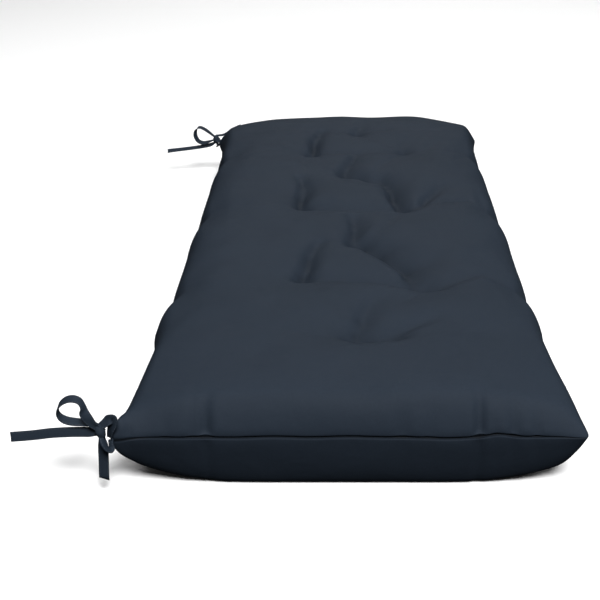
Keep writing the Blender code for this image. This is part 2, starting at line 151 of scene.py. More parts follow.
CREASES = (
    # from (x, y), to (x, y), depth at the start, depth at the end, steep, gentle reach
    # beside and beyond row one
    ((0.008, -0.460), (-0.120, -0.432), 0.006, 0.000, 0.014, 0.045),
    ((0.000, -0.454), (0.044, -0.459), 0.020, 0.019, 0.007, 0.060),
    ((0.044, -0.447), (0.108, -0.412), 0.016, 0.005, 0.008, 0.030),
    ((0.001, -0.448), (0.029, -0.352), 0.021, 0.006, 0.009, 0.048),
    ((0.022, -0.440), (-0.054, -0.278), 0.003, 0.003, 0.020, 0.040),
    ((0.035, -0.440), (0.098, -0.310), 0.003, 0.004, 0.020, 0.040),
    # beside and beyond row two
    ((-0.054, -0.274), (0.066, -0.302), 0.009, 0.012, 0.011, 0.055),
    ((0.066, -0.302), (0.112, -0.310), 0.012, 0.013, 0.010, 0.055),
    ((-0.054, -0.274), (-0.236, -0.282), 0.003, 0.001, 0.022, 0.055),
    ((0.112, -0.310), (0.180, -0.264), 0.011, 0.005, 0.009, 0.035),
    ((0.180, -0.266), (0.236, -0.314), 0.006, 0.004, 0.010, 0.035),
    ((-0.067, -0.272), (-0.041, -0.145), 0.025, 0.012, 0.009, 0.026),
    ((0.079, -0.298), (0.066, -0.236), 0.017, 0.020, 0.009, 0.060),
    ((0.066, -0.236), (0.038, -0.180), 0.022, 0.023, 0.008, 0.060),
    # beside and beyond row three
    ((0.038, -0.180), (0.013, -0.142), 0.023, 0.022, 0.008, 0.056),
    ((0.013, -0.136), (-0.064, 0.008), 0.003, 0.003, 0.020, 0.040),
    ((0.003, -0.142), (0.004, -0.030), 0.023, 0.010, 0.009, 0.034),
    ((0.022, -0.136), (0.087, 0.002), 0.004, 0.004, 0.018, 0.045),
    # beside and beyond row four
    ((-0.020, 0.000), (0.086, 0.002), 0.008, 0.011, 0.011, 0.048),
    ((-0.064, 0.012), (-0.020, 0.000), 0.015, 0.012, 0.009, 0.040),
    ((-0.064, 0.012), (-0.236, 0.012), 0.003, 0.001, 0.022, 0.055),
    ((0.100, 0.006), (0.165, 0.024), 0.007, 0.004, 0.012, 0.035),
    ((0.168, 0.028), (0.192, 0.028), 0.011, 0.009, 0.007, 0.022),
    ((0.190, 0.028), (0.236, 0.012), 0.004, 0.003, 0.014, 0.035),
    ((-0.074, 0.010), (-0.079, 0.160), 0.025, 0.012, 0.009, 0.027),
    ((0.080, 0.004), (0.049, 0.165), 0.025, 0.017, 0.009, 0.040),
    ((0.112, 0.020), (0.146, 0.103), 0.019, 0.006, 0.008, 0.026),
    # beside and beyond row five
    ((0.010, 0.176), (-0.062, 0.300), 0.003, 0.003, 0.020, 0.040),
    ((-0.004, 0.188), (0.034, 0.150), 0.018, 0.019, 0.008, 0.055),
    ((-0.008, 0.184), (0.008, 0.300), 0.020, 0.010, 0.009, 0.052),
    ((0.034, 0.160), (0.096, 0.300), 0.005, 0.004, 0.018, 0.045),
    # beside and beyond row six
    ((-0.062, 0.302), (0.096, 0.304), 0.007, 0.006, 0.014, 0.050),
    ((-0.062, 0.302), (-0.236, 0.300), 0.004, 0.002, 0.022, 0.055),
    ((0.096, 0.304), (0.236, 0.302), 0.005, 0.003, 0.018, 0.045),
    ((-0.067, 0.302), (-0.050, 0.450), 0.025, 0.012, 0.009, 0.028),
    ((0.096, 0.304), (0.094, 0.380), 0.010, 0.002, 0.009, 0.040),
    ((0.096, 0.304), (0.016, 0.430), 0.004, 0.004, 0.020, 0.040),
    # beside and beyond row seven
    ((0.014, 0.430), (0.024, 0.520), 0.013, 0.002, 0.008, 0.040),
    ((0.014, 0.432), (-0.110, 0.455), 0.005, 0.000, 0.018, 0.045),
    ((0.014, 0.432), (0.130, 0.460), 0.005, 0.000, 0.018, 0.045),
)
CREASE_POWER = 1.5
GENTLE_SIDE = (0.8, 0.6)      # the side of a crease that rises gently
WANDER = 0.004               # creases wander this much from their straight lines
WANDER_FREE = 0.06           # and by all of it from this far from a stitch
WANDER_WAVE_X = (0.19, 1.1)                   # wave along y and its start
WANDER_WAVE_Y = (0.27, 0.62, 0.4)             # waves along x and y and their start

# How finely the cushion is divided before its one subdivision.
RIM_RINGS = 9
ROLL_CLOTH = 0.052           # cloth from the seam to the end of the rolled rim
PANEL_STEP = 0.0068

# The filling swells the cloth, from a shape that starts a little slack.
SLACK = 0.003
SWELL_CAP = 0.006
SWELL_FRAMES = 20
CLOTH_SETTINGS = {
    "quality": 5, "mass": 0.3, "tension_stiffness": 40, "compression_stiffness": 20,
    "shear_stiffness": 10, "bending_stiffness": 1.0, "use_pressure": True,
    "uniform_pressure_force": 4.0, "vertex_group_mass": "held",
}
HELD_RIM = 0.001             # the cloth is held this far in from the seam
HELD_CORNER = 0.150          # and less and less over this far from a corner
HELD_STITCH = 0.010          # and from a stitch
HELD_CREASE = 0.85           # and this firmly where a crease has this depth
HELD_CREASE_DEPTH = 0.012
HELD_LEAST = 0.01
SMOOTH_FROM = 0.012          # the swollen cloth is smoothed from this far inside the seam
SMOOTH_ROUNDS = 2
SMOOTH_SHARE = 0.5
FLAT_REST = 0.0004           # what is lower than this rests on the surface

# Small folds that leave the seam, where the cloth is gathered a little by the sewing.
SEAM_FOLDS = (
    # side of the cushion, place along it, depth, half width, length
    ("near", -0.153, 0.0080, 0.0085, 0.060),
    ("near", -0.166, 0.0030, 0.0070, 0.070),
    ("near", -0.195, 0.0018, 0.0080, 0.040),
    ("near", 0.055, 0.0028, 0.0110, 0.050),
    ("near", 0.085, 0.0020, 0.0100, 0.045),
    ("near", 0.136, 0.0078, 0.0075, 0.070),
    ("near", 0.152, 0.0030, 0.0070, 0.030),
    ("near", 0.172, 0.0040, 0.0080, 0.060),
    ("near", 0.196, 0.0030, 0.0060, 0.050),
    ("near", -0.243, 0.0024, 0.0045, 0.045),
    ("near", -0.232, 0.0024, 0.0045, 0.045),
    ("left", -0.590, 0.0024, 0.0045, 0.045),
    ("left", -0.578, 0.0024, 0.0045, 0.045),
    ("far", -0.243, 0.0022, 0.0045, 0.040),
    ("far", -0.230, 0.0022, 0.0045, 0.040),
    ("left", 0.590, 0.0022, 0.0045, 0.040),
    ("left", 0.576, 0.0022, 0.0045, 0.040),
)
SCATTERED_FOLDS = (
    # side of the cushion, half of the stretch that has an even scatter, share of the depth
    ("near", 0.24, 0.6), ("far", 0.24, 1.0), ("left", 0.59, 1.0), ("right", 0.59, 1.0),
)
# The least and the most of each size of a scattered fold, and of the way on to the next one.
SCATTER_DEPTH = (0.0003, 0.0011)
SCATTER_HALF_WIDTH = (0.004, 0.009)
SCATTER_LENGTH = (0.015, 0.040)
SCATTER_STEP = (0.018, 0.050)
FOLD_LIPS = 0.7              # how far the cloth stands up beside a fold
FOLD_FADE = 1.3
SEAM_CLEAR = 0.013           # the folds start this far from the seam itself
FOLDS_BELOW = 0.35           # share of their depth under the seam
SEAM_SAG = 0.0010            # the seam of the near end lies this much lower
SEAM_REACH = 0.022           # what lifts the seam fades over this much of the cloth
SEAM_WAVES = (0.21, 0.13, 0.075)
SEAM_WAVE_HEIGHT = 0.0004
SEAM_BUMPS = (
    # side of the cushion, place along it, up, half width
    ("near", 0.157, 0.0026, 0.013),
    ("near", 0.080, -0.0008, 0.060),
    ("near", -0.240, -0.0012, 0.030),
)

# The filling is a little lumpy, from some way in and above the seam.
LUMP_WAVES = 14
LUMP_WAVE = (0.05, 0.16)
LUMP_HEIGHT = 0.0022
LUMP_START = 0.07
LUMP_FADE = 0.03

# Three strands of thread lie over each stitch.
STRAND_HALF = 0.0045
STRAND_PITCH = 0.0009
STRAND_RADIUS = 0.00045
STRAND_TOP = 0.0014
STRAND_BOW = 0.0022
STRAND_SIDES = 8
STRAND_STEPS = 3             # to each side of its middle

# ---------------------------------------------------------------- sizes of the ties

STRIP_WIDTH = 0.011
STRIP_THICK = 0.0012
SECTIONS_PER_ROW = 9

NEAR_RUNS = {
    # x, y, z, wide_x, wide_y, wide_z, gather
    "upper": (
        (-0.2525, -0.6016, 0.0668, 0.70, -0.70, 0.00, 0.70),
        (-0.2506, -0.6046, 0.0765, 0.80, -0.60, 0.00, 0.80),
        (-0.2474, -0.6068, 0.0862, 0.90, -0.40, 0.20, 1.00),
        (-0.2470, -0.6085, 0.0935, 0.75, -0.10, 0.65, 1.00),
        (-0.2502, -0.6092, 0.0928, 0.45, 0.15, 0.87, 1.00),
        (-0.2552, -0.6092, 0.0882, 0.30, 0.25, 0.90, 0.85),
        (-0.2610, -0.6090, 0.0835, 0.30, 0.20, 0.93, 0.60),
    ),
    "lower": (
        (-0.2525, -0.6016, 0.0652, 0.70, -0.70, 0.00, 0.70),
        (-0.2515, -0.6068, 0.0600, 0.45, -0.89, 0.00, 0.85),
        (-0.2517, -0.6115, 0.0595, 0.10, -0.99, 0.00, 1.00),
        (-0.2543, -0.6148, 0.0635, -0.20, -0.98, 0.00, 1.00),
        (-0.2567, -0.6145, 0.0685, -0.34, -0.94, 0.00, 0.90),
        (-0.2587, -0.6125, 0.0730, -0.34, -0.94, 0.00, 0.60),
        (-0.2600, -0.6095, 0.0775, -0.34, -0.94, 0.00, 0.50),
    ),
    "loop": (
        (-0.2610, -0.6105, 0.0830, 0.80, 0.00, 0.60, 0.50),
        (-0.2660, -0.6124, 0.0882, 0.80, 0.00, 0.60, 0.80),
        (-0.2706, -0.6130, 0.0945, 0.80, 0.05, 0.60, 1.00),
        (-0.2746, -0.6124, 0.1015, 0.70, 0.50, 0.50, 1.00),
        (-0.2756, -0.6110, 0.1085, 0.20, 0.95, 0.20, 1.00),
        (-0.2795, -0.6092, 0.1145, 0.00, 0.97, 0.25, 1.00),
        (-0.2871, -0.6080, 0.1166, 0.00, 0.95, 0.30, 1.00),
        (-0.2954, -0.6070, 0.1141, 0.00, 0.95, 0.30, 1.00),
        (-0.3023, -0.6060, 0.1075, 0.00, 0.97, 0.20, 1.00),
        (-0.3046, -0.6050, 0.0993, 0.00, 1.00, 0.10, 1.00),
        (-0.3018, -0.6045, 0.0930, 0.00, 0.95, 0.30, 1.00),
        (-0.2960, -0.6040, 0.0892, 0.00, 0.92, 0.38, 1.00),
        (-0.2887, -0.6040, 0.0876, 0.00, 0.92, 0.38, 1.00),
        (-0.2806, -0.6040, 0.0868, 0.00, 0.95, 0.30, 1.00),
        (-0.2730, -0.6045, 0.0862, 0.00, 1.00, 0.15, 1.00),
        (-0.2675, -0.6050, 0.0858, 0.00, 1.00, 0.00, 0.85),
        (-0.2610, -0.6065, 0.0845, 0.00, 1.00, 0.00, 0.60),
    ),
    "long": (
        (-0.2605, -0.6080, 0.0770, 0.00, 0.30, 0.95, 0.50),
        (-0.2665, -0.6065, 0.0766, 0.00, 0.28, 0.96, 0.75),
        (-0.2735, -0.6055, 0.0763, 0.00, 0.26, 0.97, 1.00),
        (-0.2829, -0.6050, 0.0761, 0.00, 0.26, 0.97, 1.00),
        (-0.2979, -0.6050, 0.0758, 0.00, 0.26, 0.97, 1.00),
        (-0.3150, -0.6053, 0.0748, 0.00, 0.24, 0.97, 1.00),
        (-0.3340, -0.6060, 0.0727, 0.00, 0.22, 0.98, 1.00),
        (-0.3567, -0.6070, 0.0713, 0.00, 0.20, 0.98, 1.00),
    ),
    "short": (
        (-0.2603, -0.6080, 0.0760, 1.00, 0.00, 0.00, 0.45),
        (-0.2597, -0.6077, 0.0690, 1.00, 0.00, 0.00, 0.70),
        (-0.2592, -0.6075, 0.0605, 1.00, 0.00, 0.00, 1.00),
        (-0.2600, -0.6075, 0.0435, 1.00, 0.00, 0.00, 1.00),
        (-0.2612, -0.6075, 0.0225, 1.00, 0.00, 0.00, 1.00),
    ),
}
NEAR_KNOT = (-0.2605, -0.6090, 0.0790)

FAR_RUNS = {
    # x, y, z, wide_x, wide_y, wide_z, gather
    "upper": (
        (-0.2525, 0.6016, 0.0668, 0.70, 0.70, 0.00, 0.90),
        (-0.2538, 0.6045, 0.0705, 0.70, 0.70, 0.10, 1.00),
        (-0.2553, 0.6065, 0.0735, 0.60, 0.75, 0.25, 0.85),
        (-0.2585, 0.6080, 0.0755, 0.45, 0.80, 0.40, 0.55),
    ),
    "lower": (
        (-0.2525, 0.6016, 0.0652, 0.70, 0.70, 0.00, 0.90),
        (-0.2538, 0.6052, 0.0598, 0.55, 0.83, 0.10, 1.00),
        (-0.2557, 0.6075, 0.0590, 0.30, 0.95, 0.10, 0.80),
        (-0.2575, 0.6085, 0.0660, 0.20, 0.97, 0.00, 0.45),
    ),
    "loop": (
        (-0.2585, 0.6085, 0.0745, 0.10, 1.00, 0.10, 0.55),
        (-0.2647, 0.6088, 0.0795, 0.10, 1.00, 0.10, 0.80),
        (-0.2745, 0.6085, 0.0885, 0.10, 0.97, 0.22, 1.00),
        (-0.2850, 0.6080, 0.0952, 0.10, 0.97, 0.22, 1.00),
        (-0.2925, 0.6080, 0.0960, 0.15, 0.97, 0.20, 1.00),
        (-0.2983, 0.6078, 0.0890, 0.45, 0.88, 0.05, 1.00),
        (-0.2988, 0.6075, 0.0790, 0.55, 0.83, 0.10, 1.00),
        (-0.2938, 0.6070, 0.0695, 0.45, 0.85, 0.25, 1.00),
        (-0.2850, 0.6066, 0.0655, 0.20, 0.88, 0.42, 1.00),
        (-0.2760, 0.6068, 0.0668, 0.05, 0.95, 0.30, 1.00),
        (-0.2655, 0.6075, 0.0705, 0.00, 1.00, 0.05, 0.80),
        (-0.2585, 0.6075, 0.0710, 0.00, 1.00, 0.00, 0.60),
    ),
    "long": (
        (-0.2590, 0.6080, 0.0665, 0.00, 0.90, 0.43, 0.50),
        (-0.2650, 0.6080, 0.0628, 0.00, 0.90, 0.43, 0.80),
        (-0.2730, 0.6080, 0.0603, 0.00, 0.90, 0.43, 1.00),
        (-0.2900, 0.6085, 0.0570, 0.00, 0.92, 0.40, 1.00),
        (-0.3075, 0.6090, 0.0545, 0.00, 0.92, 0.38, 1.00),
        (-0.3235, 0.6090, 0.0526, 0.00, 0.92, 0.38, 1.00),
        (-0.3411, 0.6085, 0.0508, 0.00, 0.90, 0.42, 1.00),
        (-0.3561, 0.6080, 0.0492, 0.00, 0.88, 0.46, 1.00),
    ),
    "short": (
        (-0.2583, 0.6095, 0.0785, 0.00, 1.00, 0.10, 0.55),
        (-0.2525, 0.6108, 0.0795, 0.00, 1.00, 0.10, 0.85),
        (-0.2450, 0.6108, 0.0800, 0.00, 1.00, 0.10, 1.00),
        (-0.2375, 0.6105, 0.0838, 0.00, 1.00, 0.10, 1.00),
        (-0.2290, 0.6098, 0.0895, 0.00, 1.00, 0.10, 1.00),
        (-0.2172, 0.6090, 0.0962, 0.00, 1.00, 0.10, 1.00),
        (-0.2085, 0.6085, 0.0998, 0.00, 1.00, 0.05, 1.00),
    ),
}
FAR_KNOT = (-0.2587, 0.6080, 0.0720)
KNOT_SIZE = (0.0050, 0.0058, 0.0088)
KNOT_CORE = 0.80             # share of that size
CORE_SEGMENTS = 20
CORE_RINGS = 12
KNOT_WRAPS = (
    # axis, its share of the knot's lean, start, radii, width, folds along it
    ((1.0, 0.0, 0.0), (0.0, 0.0, 1.0), (0, 1, 0), (0.0038, 0.0062), 0.0078, 3.0),
    ((0.0, 0.25, 1.0), (-1.0, 0.0, 0.0), (1, 0, 0), (0.0036, 0.0044), 0.0068, 2.5),
)
NEAR_LEAN = 0.30
FAR_LEAN = -0.20
WRAP_STEPS = 28
WRAP_BULGE = 0.0016
WRAP_FOLD = 0.0004
WRAP_MAP_STEP = 0.001
TAIL_SLANT = 0.0030          # the short tail is cut on a slant

# Cross-section of a strip: share of the half width, share of the thickness above its middle.
STRIP_FORM = (
    (-1.00, 0.00), (-0.99, 0.34), (-0.93, 0.56), (-0.84, 0.58), (-0.77, 0.40), (-0.70, 0.53),
    (-0.45, 0.56), (0.00, 0.54), (0.45, 0.56), (0.70, 0.53), (0.77, 0.40), (0.84, 0.58),
    (0.93, 0.56), (0.99, 0.34),
)
STRIP_ACROSS = [a for a, _ in STRIP_FORM] + [-a for a, _ in STRIP_FORM]
PLEAT = 0.0028               # how far a gathered strip folds along its middle
STITCH_LINE = 0.77           # share of the half width
STITCH_ABOVE = 0.45          # share of the thickness
STITCH_PITCH = 0.0034
STITCH_LENGTH = 0.0024
STITCH_THICK = 0.00034
STITCH_BEAD = {"Segments": 6, "Rings": 5, "Radius": 0.5}

# ---------------------------------------------------------------- cloth and light

YARN_LOW = 0.6               # height of a yarn where it dips, as a share
TONE_NOISE = {"Detail": 3.0, "Roughness": 0.55}
CRUMPLE_NOISE = {"Detail": 2.0, "Distortion": 0.6}
COVER_FINISH = {
    "name": "cover cloth",
    "gloss": {"Roughness": 0.60, "Specular IOR Level": 0.06},
    "tone": {
        "Colour": (0.0166, 0.0234, 0.0342, 1.0), "Patch Amount": 0.16, "Fleck Amount": 0.20},
    "yarn": 0.00055, "yarn_height": 0.00006, "crumple_scale": 26.0, "crumple_height": 0.0009,
}
TIE_FINISH = {
    "name": "tie cloth",
    "gloss": {"Roughness": 0.55, "Specular IOR Level": 0.05},
    "tone": {
        "Colour": (0.0170, 0.0240, 0.0345, 1.0), "Patch Amount": 0.20, "Fleck Amount": 0.25},
    "yarn": 0.00055, "yarn_height": 0.00008, "crumple_scale": 120.0, "crumple_height": 0.0003,
}
THREAD_FINISH = {
    "name": "sewing thread",
    "gloss": {"Roughness": 0.42, "Sheen Weight": 0.1},
    "tone": {
        "Colour": (0.026, 0.034, 0.046, 1.0), "Fleck Scale": 2400.0, "Fleck Amount": 0.5},
}
FLOOR_FINISH = {
    "name": "pale floor",
    "gloss": {"Roughness": 0.9, "Specular IOR Level": 0.1},
    "tone": {
        "Colour": (0.97, 0.97, 0.97, 1.0), "Patch Scale": 1.5, "Patch Amount": 0.01,
        "Fleck Amount": 0.01},
}
FLOOR_BOUNCE = (0.03, 0.033, 0.035, 1.0)      # the floor throws little light back up
FLOOR_HALF = 12.0
FLOOR_GAP = 0.0005
LIGHTS = (
    # name, place, looks at, size, power in watts
    ("key", (1.1, -4.9, 5.25), (0.0, 0.0, 0.05), 2.6, 712.0),
    ("overhead", (0.1, 0.7, 3.6), (0.0, 0.1, 0.1), 3.0, 60.0),
    ("right fill", (3.4, 0.2, 1.6), (0.0, 0.1, 0.1), 1.4, 14.0),
    ("floor behind", (0.0, 4.3, 2.4), (0.0, 3.7, 0.0), 3.0, 32.0),
)
ROOM_LIGHT = 0.06
ROOM_SEEN = 1.0              # the room looks brighter than the light that it gives

SEED = 7


# ---------------------------------------------------------------- small tools

def add_object(name, data):
    """A new object in the scene."""
    made = bpy.data.objects.new(name, data)
    bpy.context.scene.collection.objects.link(made)
    return made


def add_piece(name, mesh, material):
    """A shown object at the origin, unturned, that rides on the part's one body."""
    mesh.materials.clear()
    mesh.materials.append(material)
    piece = add_object(name, mesh)
    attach(piece, "root")
    return piece


def mesh_of(build, name):
    """A mesh data block from a bmesh, with smooth faces that point outwards."""
    bmesh.ops.recalc_face_normals(build, faces=build.faces[:])
    mesh = bpy.data.meshes.new(name)
    build.to_mesh(mesh)
    build.free()
    mesh.shade_smooth()
    return mesh


def rise(distance, reach, power=2.0):
    """0 at the start and 1 from reach on, round in between."""
    return (1.0 - (1.0 - ramp(distance, reach)) ** power) ** (1.0 / power)


def ramp(distance, reach):
    """0 at the start and 1 from reach on, straight in between."""
    return np.clip(distance / reach, 0.0, 1.0)


def dies_away(distance, reach):
    """1 in the middle, and hardly anything from twice reach on."""
    return np.exp(-(distance / reach) ** 2)


def away_from(place, x, y):
    """How far each point is from a place, seen from above."""
    return np.hypot(x - place[0], y - place[1])


# ---------------------------------------------------------------- camera

def place_camera():
    """The photo's camera: a long lens at one short end of the cushion."""
    level = math.cos(CAMERA_PITCH)
    forward = Vector((
        -math.sin(CAMERA_YAW) * level, math.cos(CAMERA_YAW) * level, -math.sin(CAMERA_PITCH)))
    side = Vector((math.cos(CAMERA_YAW), math.sin(CAMERA_YAW), 0.0))
    up = side.cross(forward)
    right = side * math.cos(CAMERA_ROLL) + up * math.sin(CAMERA_ROLL)
    top = up * math.cos(CAMERA_ROLL) - side * math.sin(CAMERA_ROLL)
    placed = Matrix((right, top, -forward)).transposed().to_4x4()
    placed.translation = CAMERA_PLACE
    lens = bpy.data.cameras.new("camera")
    lens.lens = CAMERA_LENS
    lens.sensor_width = SENSOR_WIDTH
    camera = add_object("camera", lens)
    camera.matrix_world = placed
    bpy.context.scene.camera = camera


# ---------------------------------------------------------------- shader groups

def new_group(name, inputs, outputs):
    """An empty shader group with named sockets, and its two end nodes."""
    group = bpy.data.node_groups.new(name, "ShaderNodeTree")
    for label, kind, value in inputs:
        socket = group.interface.new_socket(label, in_out="INPUT", socket_type=kind)
        if value is not None:
            socket.default_value = value
    for label, kind in outputs:
        group.interface.new_socket(label, in_out="OUTPUT", socket_type=kind)
    start = group.nodes.new("NodeGroupInput")
    end = group.nodes.new("NodeGroupOutput")
    return group, start, end


def set_inputs(node, values):
    """The node, with values set by the labels of its inputs."""
    for label, value in values.items():
        node.inputs[label].default_value = value
    return node


def math_node(tree, operation, first, second=None):
    """A Math node whose inputs are sockets or numbers."""
    node = tree.nodes.new("ShaderNodeMath")
    node.operation = operation
    for socket, value in zip(node.inputs, (first, second)):
        if value is None:
            continue
        if isinstance(value, bpy.types.NodeSocket):
            tree.links.new(value, socket)
        else:
            socket.default_value = value
    return node.outputs[0]


def make_weave_group():
    """Plain weave of round yarns, on a map in metres, as a height."""
    group, start, end = new_group(
        "plain weave",
        (("Place", "NodeSocketVector", None), ("Yarn", "NodeSocketFloat", None)),
        (("Height", "NodeSocketFloat"),))
    split = group.nodes.new("ShaderNodeSeparateXYZ")
    group.links.new(start.outputs["Place"], split.inputs[0])
    across = math_node(group, "DIVIDE", split.outputs["X"], start.outputs["Yarn"])
    along = math_node(group, "DIVIDE", split.outputs["Y"], start.outputs["Yarn"])
    bows = []
    for place in (across, along):
        turn = math_node(group, "MULTIPLY", place, math.pi)
        wave = math_node(group, "SINE", turn)
        bows.append(math_node(group, "ABSOLUTE", wave))
    cells = math_node(
        group, "ADD", math_node(group, "FLOOR", across), math_node(group, "FLOOR", along))
    over = math_node(group, "MODULO", math_node(group, "ABSOLUTE", cells), 2.0)
    heights = []
    for thread, cross in (bows, bows[::-1]):
        dip = math_node(group, "MULTIPLY", cross, 1.0 - YARN_LOW)
        heights.append(math_node(
            group, "MULTIPLY", thread, math_node(group, "ADD", dip, YARN_LOW)))
    difference = math_node(group, "SUBTRACT", heights[0], heights[1])
    height = math_node(
        group, "ADD", heights[1], math_node(group, "MULTIPLY", difference, over))
    group.links.new(height, end.inputs["Height"])
    return group


def make_tone_and_painted_shade_group():
    """Cloth colour with soft cloudy patches, fine fibre flecks and painted shade in the creases.
    """
    group, start, end = new_group(
        "cloth tone and painted crease shade",
        (("Place", "NodeSocketVector", None), ("Colour", "NodeSocketColor", None),
         ("Patch Scale", "NodeSocketFloat", 9.0), ("Fleck Scale", "NodeSocketFloat", 420.0),
         ("Patch Amount", "NodeSocketFloat", 0.12), ("Fleck Amount", "NodeSocketFloat", 0.18),
         ("Painted Crease Shade", "NodeSocketFloat", 0.0)),
        (("Colour", "NodeSocketColor"),))
    parts = []
    for scale, amount in (("Patch Scale", "Patch Amount"), ("Fleck Scale", "Fleck Amount")):
        noise = set_inputs(group.nodes.new("ShaderNodeTexNoise"), TONE_NOISE)
        group.links.new(start.outputs["Place"], noise.inputs["Vector"])
        group.links.new(start.outputs[scale], noise.inputs["Scale"])
        centred = math_node(group, "SUBTRACT", noise.outputs["Fac"], 0.5)
        parts.append(math_node(group, "MULTIPLY", centred, start.outputs[amount]))
    # painted shade: the cloth is darker where a crease is deep
    crease = math_node(group, "MULTIPLY", start.outputs["Painted Crease Shade"], CREASE_PAINTED_SHADE)
    level = math_node(group, "ADD", math_node(group, "ADD", *parts), crease)
    level = math_node(group, "ADD", level, 1.0)
    scaled = group.nodes.new("ShaderNodeVectorMath")
    scaled.operation = "SCALE"
    group.links.new(start.outputs["Colour"], scaled.inputs[0])
    group.links.new(level, scaled.inputs["Scale"])
    group.links.new(scaled.outputs[0], end.inputs["Colour"])
    return group


def make_crumple_group():
    """Soft small crumples of thin cloth, as a height."""
    group, start, end = new_group(
        "cloth crumple",
        (("Place", "NodeSocketVector", None), ("Scale", "NodeSocketFloat", None)),
        (("Height", "NodeSocketFloat"),))
    noise = set_inputs(group.nodes.new("ShaderNodeTexNoise"), CRUMPLE_NOISE)
    group.links.new(start.outputs["Place"], noise.inputs["Vector"])
    group.links.new(start.outputs["Scale"], noise.inputs["Scale"])
    group.links.new(noise.outputs["Fac"], end.inputs["Height"])
    return group


# ---------------------------------------------------------------- materials

def place_group(tree, group, place, values):
    """The group in a material, on a map of its own and with its own values."""
    node = tree.nodes.new("ShaderNodeGroup")
    node.node_tree = group
    tree.links.new(place, node.inputs["Place"])
    return set_inputs(node, values)


def own_place(tree):
    """The object's own coordinates."""
    return tree.nodes.new("ShaderNodeTexCoord").outputs["Object"]


def make_finish(groups, finish):
    """A material with its gloss on the shader and its colour from the shared tone group."""
    material = bpy.data.materials.new(finish["name"])
    material.use_nodes = True
    tree = material.node_tree
    shader = set_inputs(tree.nodes["Principled BSDF"], finish["gloss"])
    tone = place_group(tree, groups["tone"], own_place(tree), finish["tone"])
    tree.links.new(tone.outputs["Colour"], shader.inputs["Base Color"])
    return material, tree, shader, tone


def add_bump(tree, height, distance):
    """A bump of the height, as a node whose normal can go through another one."""
    node = tree.nodes.new("ShaderNodeBump")
    tree.links.new(height, node.inputs["Height"])
    return set_inputs(node, {"Strength": 1.0, "Distance": distance})


def make_cloth(groups, finish):
    """A woven cloth, with its weave over its crumples."""
    material, tree, shader, tone = make_finish(groups, finish)
    flat = tree.nodes.new("ShaderNodeUVMap")
    flat.uv_map = "cloth_map"
    weave = place_group(tree, groups["weave"], flat.outputs["UV"], {"Yarn": finish["yarn"]})
    crumple = place_group(
        tree, groups["crumple"], own_place(tree), {"Scale": finish["crumple_scale"]})
    soft = add_bump(tree, crumple.outputs["Height"], finish["crumple_height"])
    fine = add_bump(tree, weave.outputs["Height"], finish["yarn_height"])
    tree.links.new(soft.outputs["Normal"], fine.inputs["Normal"])
    tree.links.new(fine.outputs["Normal"], shader.inputs["Normal"])
    return material, tone


def make_cover_cloth(groups):
    """The cushion's smooth cloth, with painted shade in its creases, its seam's groove and under
    its seam.
    """
    material, tone = make_cloth(groups, COVER_FINISH)
    # the crease attribute carries painted shade into the cloth's colour
    crease = material.node_tree.nodes.new("ShaderNodeAttribute")
    crease.attribute_name = "crease"
    material.node_tree.links.new(crease.outputs["Fac"], tone.inputs["Painted Crease Shade"])
    return material


def make_floor_finish(groups):
    """Plain pale floor, darker for light than for the camera."""
    material, tree, shader, tone = make_finish(groups, FLOOR_FINISH)
    path = tree.nodes.new("ShaderNodeLightPath")
    seen = tree.nodes.new("ShaderNodeMix")
    seen.data_type = "RGBA"
    seen.inputs["A"].default_value = FLOOR_BOUNCE
    tree.links.new(path.outputs["Is Camera Ray"], seen.inputs["Factor"])
    tree.links.new(tone.outputs["Colour"], seen.inputs["B"])
    tree.links.new(seen.outputs["Result"], shader.inputs["Base Color"])
    return material


# ---------------------------------------------------------------- ties

def smooth_rows(rows):
    """The rows of a table with a smooth curve through them."""
    points = [np.array(row) for row in rows]
    points = [2 * points[0] - points[1]] + points + [2 * points[-1] - points[-2]]
    smooth = []
    for index in range(1, len(points) - 2):
        before, here, after, beyond = points[index - 1:index + 3]
        for step in range(SECTIONS_PER_ROW):
            share = step / SECTIONS_PER_ROW
            tangent = after - before
            next_tangent = beyond - here
            bend = 3 * (after - here) - tangent - 0.5 * next_tangent
            turn = 2 * (here - after) + 0.5 * tangent + 0.5 * next_tangent
            smooth.append(here + 0.5 * tangent * share + bend * share ** 2 + turn * share ** 3)
    smooth.append(points[-2])
    return smooth


def strip_sections(rows):
    """Middle, wide direction, flat direction and gather of each section of a strip."""
    smooth = smooth_rows(rows)
    middles = [Vector(row[:3]) for row in smooth]
    sections = []
    for index, row in enumerate(smooth):
        before = middles[max(index - 1, 0)]
        after = middles[min(index + 1, len(middles) - 1)]
        along = (after - before).normalized()
        wide = Vector(row[3:6])
        wide = (wide - along * wide.dot(along)).normalized()
        sections.append((middles[index], wide, along.cross(wide), row[6]))
    return sections


def strip_point(section, across, above):
    """A point of a strip: across and above are shares of its half width and its thickness."""
    middle, wide, flat, gather = section
    pleat = PLEAT * (1.0 - gather) * math.cos(math.pi * across)
    aside = across * gather * STRIP_WIDTH / 2
    return middle + wide * aside + flat * (above * STRIP_THICK + pleat)


def join_rings(build, ring, after):
    """Faces between two rings of points, each after its two places on the ring."""
    count = len(ring)
    joined = []
    for spot in range(count):
        turn = (spot + 1) % count
        face = build.faces.new((ring[spot], ring[turn], after[turn], after[spot]))
        joined.append((spot, turn, face))
    return joined


